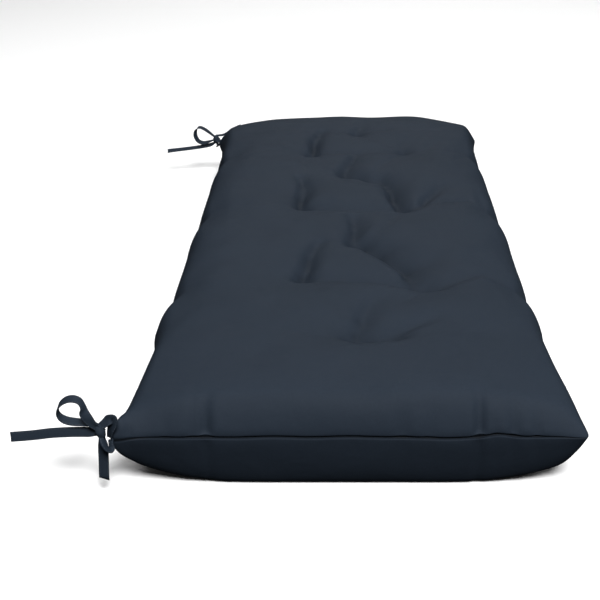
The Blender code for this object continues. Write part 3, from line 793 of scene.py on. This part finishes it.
def add_strip(build, map_layer, rows, slant=0.0):
    """One run of a tie: a folded strip with a sewn line along each edge."""
    sections = strip_sections(rows)
    rings = []
    travelled = 0.0
    for index, section in enumerate(sections):
        if index:
            travelled += (section[0] - sections[index - 1][0]).length
        ring = [build.verts.new(strip_point(section, a, b)) for a, b in STRIP_FORM]
        ring += [build.verts.new(strip_point(section, -a, -b)) for a, b in STRIP_FORM]
        rings.append((ring, travelled))
    for vert, across in zip(rings[-1][0], STRIP_ACROSS):
        vert.co.z -= slant * (across + 1.0) / 2
    for (ring, start), (after, stop) in zip(rings, rings[1:]):
        for spot, turn, face in join_rings(build, ring, after):
            places = ((spot, start), (turn, start), (turn, stop), (spot, stop))
            for loop, (place, distance) in zip(face.loops, places):
                across = STRIP_ACROSS[place] * STRIP_WIDTH / 2
                loop[map_layer].uv = (across, distance)
    build.faces.new(rings[0][0][::-1])
    build.faces.new(rings[-1][0])
    return sections


def make_run(name, rows, material, slant=0.0):
    """A tie's run as one strip, with the line that it follows."""
    build = bmesh.new()
    map_layer = build.loops.layers.uv.new("cloth_map")
    sections = add_strip(build, map_layer, rows, slant)
    route = [tuple(section[0]) for section in sections]
    piece = add_piece(name, mesh_of(build, name), material)
    return piece, route, sections


def add_band(build, map_layer, centre, axis, start, radii, width, folds):
    """A closed wrap of cloth round the knot, gathered into a few folds along its way."""
    axis = Vector(axis).normalized()
    first = Vector(start)
    first = (first - axis * first.dot(axis)).normalized()
    second = axis.cross(first)
    rings = []
    for step in range(WRAP_STEPS):
        turn = 2 * math.pi * step / WRAP_STEPS
        outward = first * math.cos(turn) + second * math.sin(turn)
        middle = Vector(centre) + first * radii[0] * math.cos(turn)
        middle += second * radii[1] * math.sin(turn)
        ring = []
        for across, above in zip(STRIP_ACROSS, band_heights(folds)):
            bulge = WRAP_BULGE * (1.0 - across ** 2)
            ring.append(build.verts.new(
                middle + axis * (across * width / 2) + outward * (above + bulge)))
        rings.append(ring)
    for step, ring in enumerate(rings):
        for spot, _, face in join_rings(build, ring, rings[(step + 1) % WRAP_STEPS]):
            for loop in face.loops:
                loop[map_layer].uv = (spot * width / len(ring), step * WRAP_MAP_STEP)


def band_heights(folds):
    """Height of each point of a wrap's ring above its middle line, with lengthwise folds."""
    upper = [b * STRIP_THICK + WRAP_FOLD * math.cos(folds * math.pi * a) for a, b in STRIP_FORM]
    lower = [-b * STRIP_THICK for _, b in STRIP_FORM]
    return upper + lower


def make_knot(name, place, material, lean):
    """The knot: two gathered wraps over a small core."""
    build = bmesh.new()
    map_layer = build.loops.layers.uv.new("cloth_map")
    core = bmesh.ops.create_uvsphere(
        build, u_segments=CORE_SEGMENTS, v_segments=CORE_RINGS, radius=1.0)
    size = [half * KNOT_CORE for half in KNOT_SIZE]
    bmesh.ops.scale(build, vec=size, verts=core["verts"])
    bmesh.ops.translate(build, vec=place, verts=core["verts"])
    for axis, leaning, start, radii, width, folds in KNOT_WRAPS:
        leant = Vector(axis) + Vector(leaning) * lean
        add_band(build, map_layer, place, leant, start, radii, width, folds)
    piece = add_piece(name, mesh_of(build, name), material)
    return piece


def make_stitch_tree():
    """Stitches at an even pitch along each line of the input."""
    tree = bpy.data.node_groups.new("row of stitches", "GeometryNodeTree")
    for label, way, kind in (
            ("Lines", "INPUT", "Geometry"), ("Pitch", "INPUT", "Float"),
            ("Length", "INPUT", "Float"), ("Thickness", "INPUT", "Float"),
            ("Thread", "INPUT", "Material"), ("Stitches", "OUTPUT", "Geometry")):
        tree.interface.new_socket(label, in_out=way, socket_type="NodeSocket" + kind)
    start = tree.nodes.new("NodeGroupInput")
    bead = set_inputs(tree.nodes.new("GeometryNodeMeshUVSphere"), STITCH_BEAD)
    size = tree.nodes.new("ShaderNodeCombineXYZ")
    lines, points, shaped, place, real, smooth, finish = (
        tree.nodes.new("GeometryNode" + kind) for kind in (
            "MeshToCurve", "CurveToPoints", "Transform", "InstanceOnPoints",
            "RealizeInstances", "SetShadeSmooth", "SetMaterial"))
    points.mode = "LENGTH"
    end = tree.nodes.new("NodeGroupOutput")
    for source, given, target, taken in (
            (start, "Lines", lines, "Mesh"), (lines, "Curve", points, "Curve"),
            (start, "Pitch", points, "Length"), (start, "Thickness", size, "X"),
            (start, "Thickness", size, "Y"), (start, "Length", size, "Z"),
            (bead, "Mesh", shaped, "Geometry"), (size, "Vector", shaped, "Scale"),
            (points, "Points", place, "Points"), (points, "Rotation", place, "Rotation"),
            (shaped, "Geometry", place, "Instance"), (place, "Instances", real, "Geometry"),
            (real, "Geometry", smooth, "Geometry"), (smooth, "Geometry", finish, "Geometry"),
            (start, "Thread", finish, "Material"), (finish, "Geometry", end, "Stitches")):
        tree.links.new(source.outputs[given], target.inputs[taken])
    return tree


def stitch_lines(sections):
    """The two sewn lines on each face of a strip, as lists of points."""
    return [
        [strip_point(section, across, above) for section in sections]
        for across in (-STITCH_LINE, STITCH_LINE) for above in (-STITCH_ABOVE, STITCH_ABOVE)]


def make_stitches(name, lines, tree, thread):
    """All the stitches of one tie as one plain mesh."""
    drawn = bpy.data.meshes.new(name)
    points = []
    edges = []
    for line in lines:
        first = len(points)
        points += [tuple(point) for point in line]
        edges += [(index, index + 1) for index in range(first, len(points) - 1)]
    drawn.from_pydata(points, edges, [])
    carrier = add_object(name + "_lines", drawn)
    modifier = carrier.modifiers.new("stitches", "NODES")
    modifier.node_group = tree
    values = {
        "Pitch": STITCH_PITCH, "Length": STITCH_LENGTH, "Thickness": STITCH_THICK,
        "Thread": thread}
    for item in tree.interface.items_tree:
        if item.in_out == "INPUT" and item.name in values:
            modifier[item.identifier] = values[item.name]
    ready = carrier.evaluated_get(bpy.context.evaluated_depsgraph_get())
    mesh = bpy.data.meshes.new_from_object(ready)
    mesh.name = name
    bpy.data.objects.remove(carrier)
    piece = add_piece(name, mesh, thread)
    return piece


def make_tie(name, runs, knot_place, lean, material, thread, stitch_tree):
    """One tie: its runs, its knot and its stitches, in place of the part's plain ones."""
    lead, lead_route, lead_sections = make_run(
        f"{name}_upper_and_long_tail", runs["upper"] + runs["long"], material)
    under, under_route, under_sections = make_run(
        f"{name}_lower_and_short_tail", runs["lower"] + runs["short"], material, TAIL_SLANT)
    loop, loop_route, loop_sections = make_run(f"{name}_bow_loop", runs["loop"], material)
    knot = make_knot(f"{name}_knot_wraps", knot_place, material, lean)
    lines = []
    for sections in (lead_sections, under_sections, loop_sections):
        lines += stitch_lines(sections)
    stitches = make_stitches(f"{name}_stitches", lines, stitch_tree, thread)
    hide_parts(f"{name}_upper", f"{name}_long")
    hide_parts(f"{name}_lower", f"{name}_short")
    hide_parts(f"{name}_loop")
    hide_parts(f"{name}_knot")


# ---------------------------------------------------------------- form of the cushion

def lip_inset(panel):
    """How far inside the seam the panel reaches the height of its lip."""
    share = panel["lip"] / (panel["rise"] * panel["roll_share"])
    return panel["roll"] * (1.0 - math.sqrt(1.0 - share ** panel["roll_face"]))


def panel_lines(half, panel):
    """Grid lines across a panel: their places, and how far the cloth runs to each."""
    roll = TOP_PANEL["roll"]
    lip = lip_inset(panel)
    turns = [math.radians(90.0 * ring / RIM_RINGS) for ring in range(1, RIM_RINGS)]
    insets = [0.0, lip] + [roll * (1.0 - math.cos(turn)) for turn in turns]
    inner = half - roll
    rolled = [inner + ROLL_CLOTH * (1.0 - turn / (math.pi / 2)) for turn in [0.0, 0.0] + turns]
    count = 2 * round(inner / PANEL_STEP)
    middle = [inner * (2.0 * step / count - 1.0) for step in range(count + 1)]
    rim = [half - inset for inset in insets]
    places = [-place for place in rim] + middle + rim[::-1]
    runs = [-run for run in rolled] + middle + rolled[::-1]
    return places, runs


def from_edges(x, y):
    """How far each place lies in from the long sides and from the short ends."""
    return DEPTH / 2 - np.abs(x), LENGTH / 2 - np.abs(y)


def crease_drop(x, y, crease):
    """How deep a crease is at each point: steep under the puff that leans over it."""
    start, end, depth_start, depth_end, steep, gentle = crease
    run = np.array(end) - np.array(start)
    share = ((x - start[0]) * run[0] + (y - start[1]) * run[1]) / (run @ run)
    share = np.clip(share, 0.0, 1.0)
    off_x = x - start[0] - share * run[0]
    off_y = y - start[1] - share * run[1]
    away = np.hypot(off_x, off_y)
    side = np.array((-run[1], run[0])) / np.hypot(*run)
    if side @ np.array(GENTLE_SIDE) < 0:
        side = -side
    lean = (off_x * side[0] + off_y * side[1]) / np.maximum(away, TOLERANCE)
    reach = steep + (gentle - steep) * (0.5 + 0.5 * lean)
    depth = depth_start + (depth_end - depth_start) * share
    return depth * (1.0 - rise(away, reach, CREASE_POWER))


def tuft_drop(x, y, place):
    """How deep the dent round a stitch is at each point."""
    off_x = x - place[0]
    off_y = y - place[1]
    reach_x = np.where(off_x > 0, TUFT_REACH_RIGHT, TUFT_REACH_LEFT)
    reach_y = np.where(off_y > 0, TUFT_REACH_FAR, TUFT_REACH_NEAR)
    across = np.abs(off_x / reach_x) ** TUFT_SQUARE
    along = np.abs(off_y / reach_y) ** TUFT_SQUARE
    away = (across + along) ** (1.0 / TUFT_SQUARE)
    return TUFT_DEPTH * (1.0 - rise(away, 1.0, TUFT_POWER))


def wandered(x, y):
    """Places from which the creases are measured, so that they wander between stitches."""
    away = np.min([away_from(place, x, y) for place in TUFTS], axis=0)
    free = WANDER * ramp(away, WANDER_FREE)
    wave, start = WANDER_WAVE_X
    off_x = free * np.sin(2 * math.pi * y / wave + start)
    wave_x, wave_y, start = WANDER_WAVE_Y
    off_y = free * np.sin(2 * math.pi * (x / wave_x + y / wave_y) + start)
    return x + off_x, y + off_y


def panel_drop(x, y):
    """How far the stitches and creases pull a panel in, at each point."""
    drops = [tuft_drop(x, y, place) for place in TUFTS]
    drops += [crease_drop(*wandered(x, y), crease) for crease in CREASES]
    return sum(drop ** DROP_BLEND for drop in drops) ** (1 / DROP_BLEND)


def roll_rise(inward, panel):
    """The rim's rise from the seam, as a share: nearly straight, and round where it ends."""
    return (1.0 - (1.0 - ramp(inward, panel["roll"])) ** 2) ** (1.0 / panel["roll_face"])


def panel_height(x, y, panel):
    """Height of a panel away from the seam."""
    from_side, from_end = from_edges(x, y)
    side_share = (from_side + TOLERANCE) ** -EDGE_BLEND
    end_share = (from_end + TOLERANCE) ** -EDGE_BLEND
    inward = (side_share + end_share) ** (-1 / EDGE_BLEND)
    crown = rise(from_side, CROWN_REACH) * rise(from_end, CROWN_REACH)
    edge = panel["roll_share"] * roll_rise(inward, panel)
    edge = edge + (1.0 - panel["roll_share"]) * crown
    corner = rise(np.hypot(from_side, from_end) + CORNER_TIP, CORNER_REACH, CORNER_POWER)
    full = panel["rise"] + panel["lean"] * y / (LENGTH / 2)
    height = (full - panel["dents"] * panel_drop(x, y)) * edge * corner
    for side, end, ear_rise, reach in EARS:
        away = away_from((side * DEPTH / 2, end * LENGTH / 2), x, y)
        ear = ear_rise * panel["dents"] * dies_away(away, reach)
        height = height + ear * rise(inward, EAR_ROLL)
    return np.where(np.minimum(from_side, from_end) < TOLERANCE, 0.0, height)


def drawn_in(x, y):
    """Plan of the cushion: round corners and long sides drawn in, most beside the stitches."""
    over_x = np.clip(np.abs(x) - (DEPTH / 2 - CORNER_RADIUS), 0.0, None)
    over_y = np.clip(np.abs(y) - (LENGTH / 2 - CORNER_RADIUS), 0.0, None)
    longest = np.hypot(over_x, over_y)
    keep = np.maximum(over_x, over_y) / np.maximum(longest, TOLERANCE)
    plan_x = x - np.sign(x) * over_x * (1.0 - keep)
    plan_y = y - np.sign(y) * over_y * (1.0 - keep)
    behind_corner = LENGTH / 2 - CORNER_RADIUS - np.abs(y)
    draw = SIDE_DRAW * (1.0 - (1.0 - ramp(behind_corner, SIDE_DRAW_RUN)) ** 2)
    for row in PAIR_ROWS:
        draw = draw + NOTCH_DEPTH * dies_away(y - row * STITCH_ROW, NOTCH_REACH)
    for side, place, out, reach in SIDE_PUFFS:
        draw = draw - np.where(x * side > 0, out * dies_away(y - place, reach), 0.0)
    plan_x = plan_x * (1.0 - draw / (DEPTH / 2) * (np.abs(x) / (DEPTH / 2)))
    for side, end, out_x, out_y, reach in CORNER_PULLS:
        pull = dies_away(away_from((side * DEPTH / 2, end * LENGTH / 2), x, y), reach)
        plan_x = plan_x + side * out_x * pull
        plan_y = plan_y + end * out_y * pull
    return plan_x, plan_y


def tucked(x, y, panel):
    """Plan of a panel: it rolls in a little just before the seam, and its rim lies further in."""
    share = np.clip(np.hypot(*from_edges(x, y)) / GROOVE_RUN, GROOVE_AT_CORNER, 1.0)
    plan = []
    for own, place, inset in zip((x, y), drawn_in(x, y), from_edges(x, y)):
        roll = panel["tuck"] * share * dies_away(inset, TUCK_REACH)
        depth = np.where(inset > TOLERANCE, roll, GROOVE_DEPTH * share)
        plan.append(place - np.sign(own) * depth)
    return plan


def add_panel(build, layers, panel, slack):
    """One panel as a grid of the filled cloth, with its cloth map and its own places kept."""
    columns, column_runs = panel_lines(DEPTH / 2, panel)
    rows, row_runs = panel_lines(LENGTH / 2, panel)
    x, y = (grid.ravel() for grid in np.meshgrid(columns, rows))
    way = panel["way"]
    height = panel_height(x, y, panel) * (1.0 - slack / panel["rise"])
    plan_x, plan_y = tucked(x, y, panel)
    z = np.maximum(SEAM_HEIGHT + way * height, 0.0)
    drop = panel_drop(x, y)
    verts = [build.verts.new(place) for place in zip(plan_x, plan_y, z)]
    # each point's painted shade: in dents and creases, in the seam's groove and under the seam
    for vert, own_x, own_y, down in zip(verts, x, y, drop):
        vert[layers["rest"]] = (own_x, own_y, way)
        painted_shade_level = max(min(down / TUFT_DEPTH, 1.0) ** PAINTED_SHADE_POWER, panel["painted_shade"])
        vert[layers["crease"]] = SEAM_PAINTED_SHADE if on_seam((own_x, own_y)) else painted_shade_level
    width = len(columns)
    for row in range(len(rows) - 1):
        for column in range(width - 1):
            corners = (
                (column, row), (column + 1, row), (column + 1, row + 1), (column, row + 1))
            face = build.faces.new([verts[r * width + c] for c, r in corners])
            for loop, (c, r) in zip(face.loops, corners):
                loop[layers["map"]].uv = (column_runs[c], row_runs[r])


def on_seam(own):
    """Whether a point of the panels lies on their rim."""
    return abs(own[0]) > DEPTH / 2 - TOLERANCE or abs(own[1]) > LENGTH / 2 - TOLERANCE


def start_cover():
    """The cover as a closed cage of both panels, a little slack before it swells."""
    build = bmesh.new()
    layers = {
        "rest": build.verts.layers.float_vector.new("rest"),
        # painted shade of the creases, the seam's groove and the cloth under the seam
        "crease": build.verts.layers.float.new("crease"),
        "map": build.loops.layers.uv.new("cloth_map"),
    }
    add_panel(build, layers, TOP_PANEL, SLACK)
    add_panel(build, layers, BOTTOM_PANEL, 0.0)
    bmesh.ops.remove_doubles(build, verts=build.verts[:], dist=TOLERANCE)
    sharp = build.edges.layers.float.new("crease_edge")
    for edge in build.edges:
        if all(on_seam(vert[layers["rest"]]) for vert in edge.verts):
            edge[sharp] = 1.0
    low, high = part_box("cushion")
    for axis in (0, 1):
        places = [vert.co[axis] for vert in build.verts]
        shift = (low[axis] + high[axis]) / 2 - (min(places) + max(places)) / 2
        for vert in build.verts:
            vert.co[axis] += shift
    return mesh_of(build, "cushion_cover")


def rows_of(items, field):
    """A field of three numbers of all the items, as rows."""
    values = np.zeros(len(items) * 3, np.float32)
    items.foreach_get(field, values)
    return values.reshape(-1, 3).astype(float)


def rest_of(mesh):
    """Each point's own place on its panel, and the panel's way."""
    return rows_of(mesh.attributes["rest"].data, "vector")


def set_places(mesh, places):
    """Moves the mesh's points."""
    mesh.vertices.foreach_set("co", places.astype(np.float32).ravel())
    mesh.update()


def holding(mesh):
    """How firmly each point is held while the cover swells: seam, stitches, creases and rest."""
    rest = rest_of(mesh)
    places = rows_of(mesh.vertices, "co")
    from_side, from_end = from_edges(rest[:, 0], rest[:, 1])
    held = np.where(np.minimum(from_side, from_end) < HELD_RIM, 1.0, 0.0)
    held = np.maximum(held, dies_away(np.hypot(from_side, from_end), HELD_CORNER))
    held = np.where((places[:, 2] < FLAT_REST) & (rest[:, 2] < 0), 1.0, held)
    for place in TUFTS:
        held = np.maximum(held, dies_away(away_from(place, rest[:, 0], rest[:, 1]), HELD_STITCH))
    for crease in CREASES:
        depth = crease_drop(*wandered(rest[:, 0], rest[:, 1]), crease)
        held = np.maximum(held, HELD_CREASE * ramp(depth, HELD_CREASE_DEPTH) ** 2)
    return held


def swell(piece):
    """Cloth under the pressure of the filling, with its movement capped."""
    before = rows_of(piece.data.vertices, "co")
    group = piece.vertex_groups.new(name="held")
    for index, weight in enumerate(holding(piece.data)):
        if weight > HELD_LEAST:
            group.add([index], float(weight), "REPLACE")
    cloth = piece.modifiers.new("filling", "CLOTH")
    for setting, value in CLOTH_SETTINGS.items():
        setattr(cloth.settings, setting, value)
    cloth.settings.effector_weights.gravity = 0.0
    cloth.collision_settings.use_collision = False
    cloth.collision_settings.use_self_collision = False
    cloth.point_cache.frame_start = 1
    cloth.point_cache.frame_end = SWELL_FRAMES
    scene = bpy.context.scene
    for step in range(1, SWELL_FRAMES + 1):
        scene.frame_set(step)
    swollen = piece.evaluated_get(bpy.context.evaluated_depsgraph_get())
    moved = rows_of(swollen.data.vertices, "co") - before
    size = np.linalg.norm(moved, axis=1)
    keep = np.minimum(1.0, SWELL_CAP / np.maximum(size, TOLERANCE))
    piece.modifiers.remove(cloth)
    piece.vertex_groups.remove(group)
    scene.frame_set(1)
    set_places(piece.data, before + moved * keep[:, None])


def subdivided(piece):
    """The piece's mesh, a little smoothed inside its seam, after one smooth subdivision."""
    rest = rest_of(piece.data)
    inward = np.minimum(*from_edges(rest[:, 0], rest[:, 1]))
    group = piece.vertex_groups.new(name="inside the seam")
    group.add([int(index) for index in np.flatnonzero(inward > SMOOTH_FROM)], 1.0, "REPLACE")
    softer = piece.modifiers.new("softer", "SMOOTH")
    softer.factor = SMOOTH_SHARE
    softer.iterations = SMOOTH_ROUNDS
    softer.vertex_group = group.name
    modifier = piece.modifiers.new("smooth", "SUBSURF")
    modifier.levels = 1
    modifier.render_levels = 1
    ready = piece.evaluated_get(bpy.context.evaluated_depsgraph_get())
    mesh = bpy.data.meshes.new_from_object(ready)
    piece.modifiers.clear()
    piece.vertex_groups.clear()
    return mesh


def roll_run(inward):
    """Distance over the cloth from the seam, for a distance in from the rim seen from above."""
    roll = TOP_PANEL["roll"]
    turn = np.arccos(1.0 - np.clip(inward, 0.0, roll) / roll)
    return ROLL_CLOTH * turn / (math.pi / 2) + np.clip(inward - roll, 0.0, None)


def side_frames(rest):
    """For each side of the cushion: place along it and distance over the cloth from its seam."""
    x = rest[:, 0]
    y = rest[:, 1]
    return {
        "near": (x, roll_run(LENGTH / 2 + y)),
        "far": (x, roll_run(LENGTH / 2 - y)),
        "left": (y, roll_run(DEPTH / 2 + x)),
        "right": (y, roll_run(DEPTH / 2 - x)),
    }


def gathered_folds():
    """The small folds all along the seam: those that show most, then an even scatter."""
    chance = np.random.default_rng(SEED)
    folds = list(SEAM_FOLDS)
    for side, half, share in SCATTERED_FOLDS:
        place = -half
        while place < half:
            folds.append((
                side, place, chance.uniform(*SCATTER_DEPTH) * share,
                chance.uniform(*SCATTER_HALF_WIDTH), chance.uniform(*SCATTER_LENGTH)))
            place += chance.uniform(*SCATTER_STEP)
    return folds


def seam_depths(rest):
    """How far the folds at the seam pull each point in."""
    frames = side_frames(rest)
    depth = np.zeros(len(rest))
    for side, place, deep, half_width, length in gathered_folds():
        along, over = frames[side]
        lips = 1.0 - FOLD_LIPS * ((along - place) / half_width) ** 2
        shape = lips * dies_away(along - place, half_width)
        fade = np.clip(1.0 - over / length, 0.0, 1.0) ** FOLD_FADE
        depth += deep * shape * fade * ramp(over, SEAM_CLEAR)
    return depth * np.where(rest[:, 2] < 0.0, FOLDS_BELOW, 1.0)


def seam_lift(rest):
    """The seam isn't quite level: how far each point near it is raised."""
    frames = side_frames(rest)
    chance = np.random.default_rng(SEED + 1)
    lift = np.zeros(len(rest))
    for side, (along, over) in frames.items():
        near_seam = dies_away(over, SEAM_REACH)
        if side == "near":
            lift -= SEAM_SAG * near_seam
        for wave in SEAM_WAVES:
            phase = chance.uniform(0.0, 2.0 * math.pi)
            turn = 2.0 * math.pi * along / wave + phase
            lift += SEAM_WAVE_HEIGHT * near_seam * np.sin(turn)
        for bump_side, place, up, half_width in SEAM_BUMPS:
            if bump_side == side:
                lift += up * near_seam * dies_away(along - place, half_width)
    return lift


def lumps(rest):
    """Soft unevenness of the filling, from a few long crossing waves."""
    chance = np.random.default_rng(SEED + 2)
    uneven = np.zeros(len(rest))
    for _ in range(LUMP_WAVES):
        wave = chance.uniform(*LUMP_WAVE)
        turn = chance.uniform(0.0, math.pi)
        phase = chance.uniform(0.0, 2.0 * math.pi)
        along = rest[:, 0] * math.cos(turn) + rest[:, 1] * math.sin(turn)
        uneven += wave * np.sin(2.0 * math.pi * along / wave + phase)
    return LUMP_HEIGHT * uneven


def add_fine_form(mesh):
    """Folds at the seam, its waves and the lumps of the filling, on the fine mesh."""
    rest = rest_of(mesh)
    places = rows_of(mesh.vertices, "co")
    normals = rows_of(mesh.vertices, "normal")
    resting = places[:, 2] < FLAT_REST
    inward = np.minimum(*from_edges(rest[:, 0], rest[:, 1]))
    free = ramp(inward, LUMP_FADE) * ramp(places[:, 2] - LUMP_START, LUMP_FADE)
    out = lumps(rest) * free - seam_depths(rest)
    out = np.where(resting, 0.0, out)
    places = places + normals * out[:, None]
    places[:, 2] += np.where(resting, 0.0, seam_lift(rest))
    places[:, 2] = np.where(resting, 0.0, np.maximum(places[:, 2], 0.0))
    set_places(mesh, places)


def make_cover(material):
    """The sewn and filled cover of the cushion."""
    cover = add_piece("cushion_cover", start_cover(), material)
    swell(cover)
    mesh = subdivided(cover)
    add_fine_form(mesh)
    mesh.shade_smooth()
    cover.data = mesh
    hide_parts("cushion")
    return cover


def add_thread(build, points):
    """A short round thread through the points."""
    rings = []
    for index, point in enumerate(points):
        before = points[max(index - 1, 0)]
        after = points[min(index + 1, len(points) - 1)]
        along = (after - before).normalized()
        side = along.cross(Vector((0.0, 0.0, 1.0))).normalized()
        up = side.cross(along)
        ring = []
        for spot in range(STRAND_SIDES):
            turn = 2 * math.pi * spot / STRAND_SIDES
            aside = side * STRAND_RADIUS * math.cos(turn)
            ring.append(build.verts.new(point + aside + up * STRAND_RADIUS * math.sin(turn)))
        rings.append(ring)
    for ring, after in zip(rings, rings[1:]):
        join_rings(build, ring, after)
    build.faces.new(rings[0][::-1])
    build.faces.new(rings[-1])


def make_tuft_threads(cover, thread):
    """Three strands of thread across each stitch, on both faces."""
    rest = rest_of(cover.data)
    places = rows_of(cover.data.vertices, "co")
    build = bmesh.new()
    chance = np.random.default_rng(SEED + 3)
    for spot in TUFTS:
        for direction in (1, -1):
            away = away_from(spot, rest[:, 0], rest[:, 1])
            away = np.where(rest[:, 2] * direction > 0, away, 1.0)
            middle = Vector(places[np.argmin(away)])
            turn = chance.uniform(0.0, math.pi)
            along = Vector((math.cos(turn), math.sin(turn), 0.0)) * STRAND_HALF
            aside = Vector((-math.sin(turn), math.cos(turn), 0.0)) * STRAND_PITCH
            for strand in (-1, 0, 1):
                points = []
                for step in range(-STRAND_STEPS, STRAND_STEPS + 1):
                    share = step / STRAND_STEPS
                    up = direction * (STRAND_TOP - STRAND_BOW * share ** 2)
                    points.append(
                        middle + along * share + aside * strand + Vector((0.0, 0.0, up)))
                add_thread(build, points)
    piece = add_piece("tuft_threads", mesh_of(build, "tuft_threads"), thread)


# ---------------------------------------------------------------- floor and light

def add_light(name, place, look_at, size, power):
    """A soft round studio light."""
    lamp = bpy.data.lights.new(name, "AREA")
    lamp.shape = "DISK"
    lamp.size = size
    lamp.energy = power
    light = add_object(name, lamp)
    light.location = place
    aim = Vector(look_at) - Vector(place)
    light.rotation_euler = aim.to_track_quat("-Z", "Y").to_euler()


def make_room():
    """A plain room that looks bright and gives a little light from all sides."""
    world = bpy.data.worlds.new("room")
    world.use_nodes = True
    tree = world.node_tree
    background = tree.nodes["Background"]
    background.inputs["Color"].default_value = (1.0, 1.0, 1.0, 1.0)
    rays = tree.nodes.new("ShaderNodeLightPath")
    strength = tree.nodes.new("ShaderNodeMapRange")
    strength.inputs["To Min"].default_value = ROOM_LIGHT
    strength.inputs["To Max"].default_value = ROOM_SEEN
    tree.links.new(rays.outputs["Is Camera Ray"], strength.inputs["Value"])
    tree.links.new(strength.outputs["Result"], background.inputs["Strength"])
    bpy.context.scene.world = world


def make_studio(finish):
    """Pale floor, soft lights and a plain bright room."""
    build = bmesh.new()
    bmesh.ops.create_grid(build, x_segments=1, y_segments=1, size=FLOOR_HALF)
    floor = add_object("floor", mesh_of(build, "floor"))
    floor.data.transform(Matrix.Translation((0.0, 0.0, -FLOOR_GAP)))
    floor.data.materials.append(finish)
    for light in LIGHTS:
        add_light(*light)
    make_room()
    bpy.context.scene.view_settings.view_transform = "Standard"


def main():
    place_camera()
    groups = {
        "weave": make_weave_group(), "tone": make_tone_and_painted_shade_group(), "crumple": make_crumple_group()}
    tie_cloth = make_cloth(groups, TIE_FINISH)[0]
    thread = make_finish(groups, THREAD_FINISH)[0]
    stitch_tree = make_stitch_tree()
    make_tie("tie_near", NEAR_RUNS, NEAR_KNOT, NEAR_LEAN, tie_cloth, thread, stitch_tree)
    make_tie("tie_far", FAR_RUNS, FAR_KNOT, FAR_LEAN, tie_cloth, thread, stitch_tree)
    cover = make_cover(make_cover_cloth(groups))
    make_tuft_threads(cover, thread)
    make_studio(make_floor_finish(groups))


main()
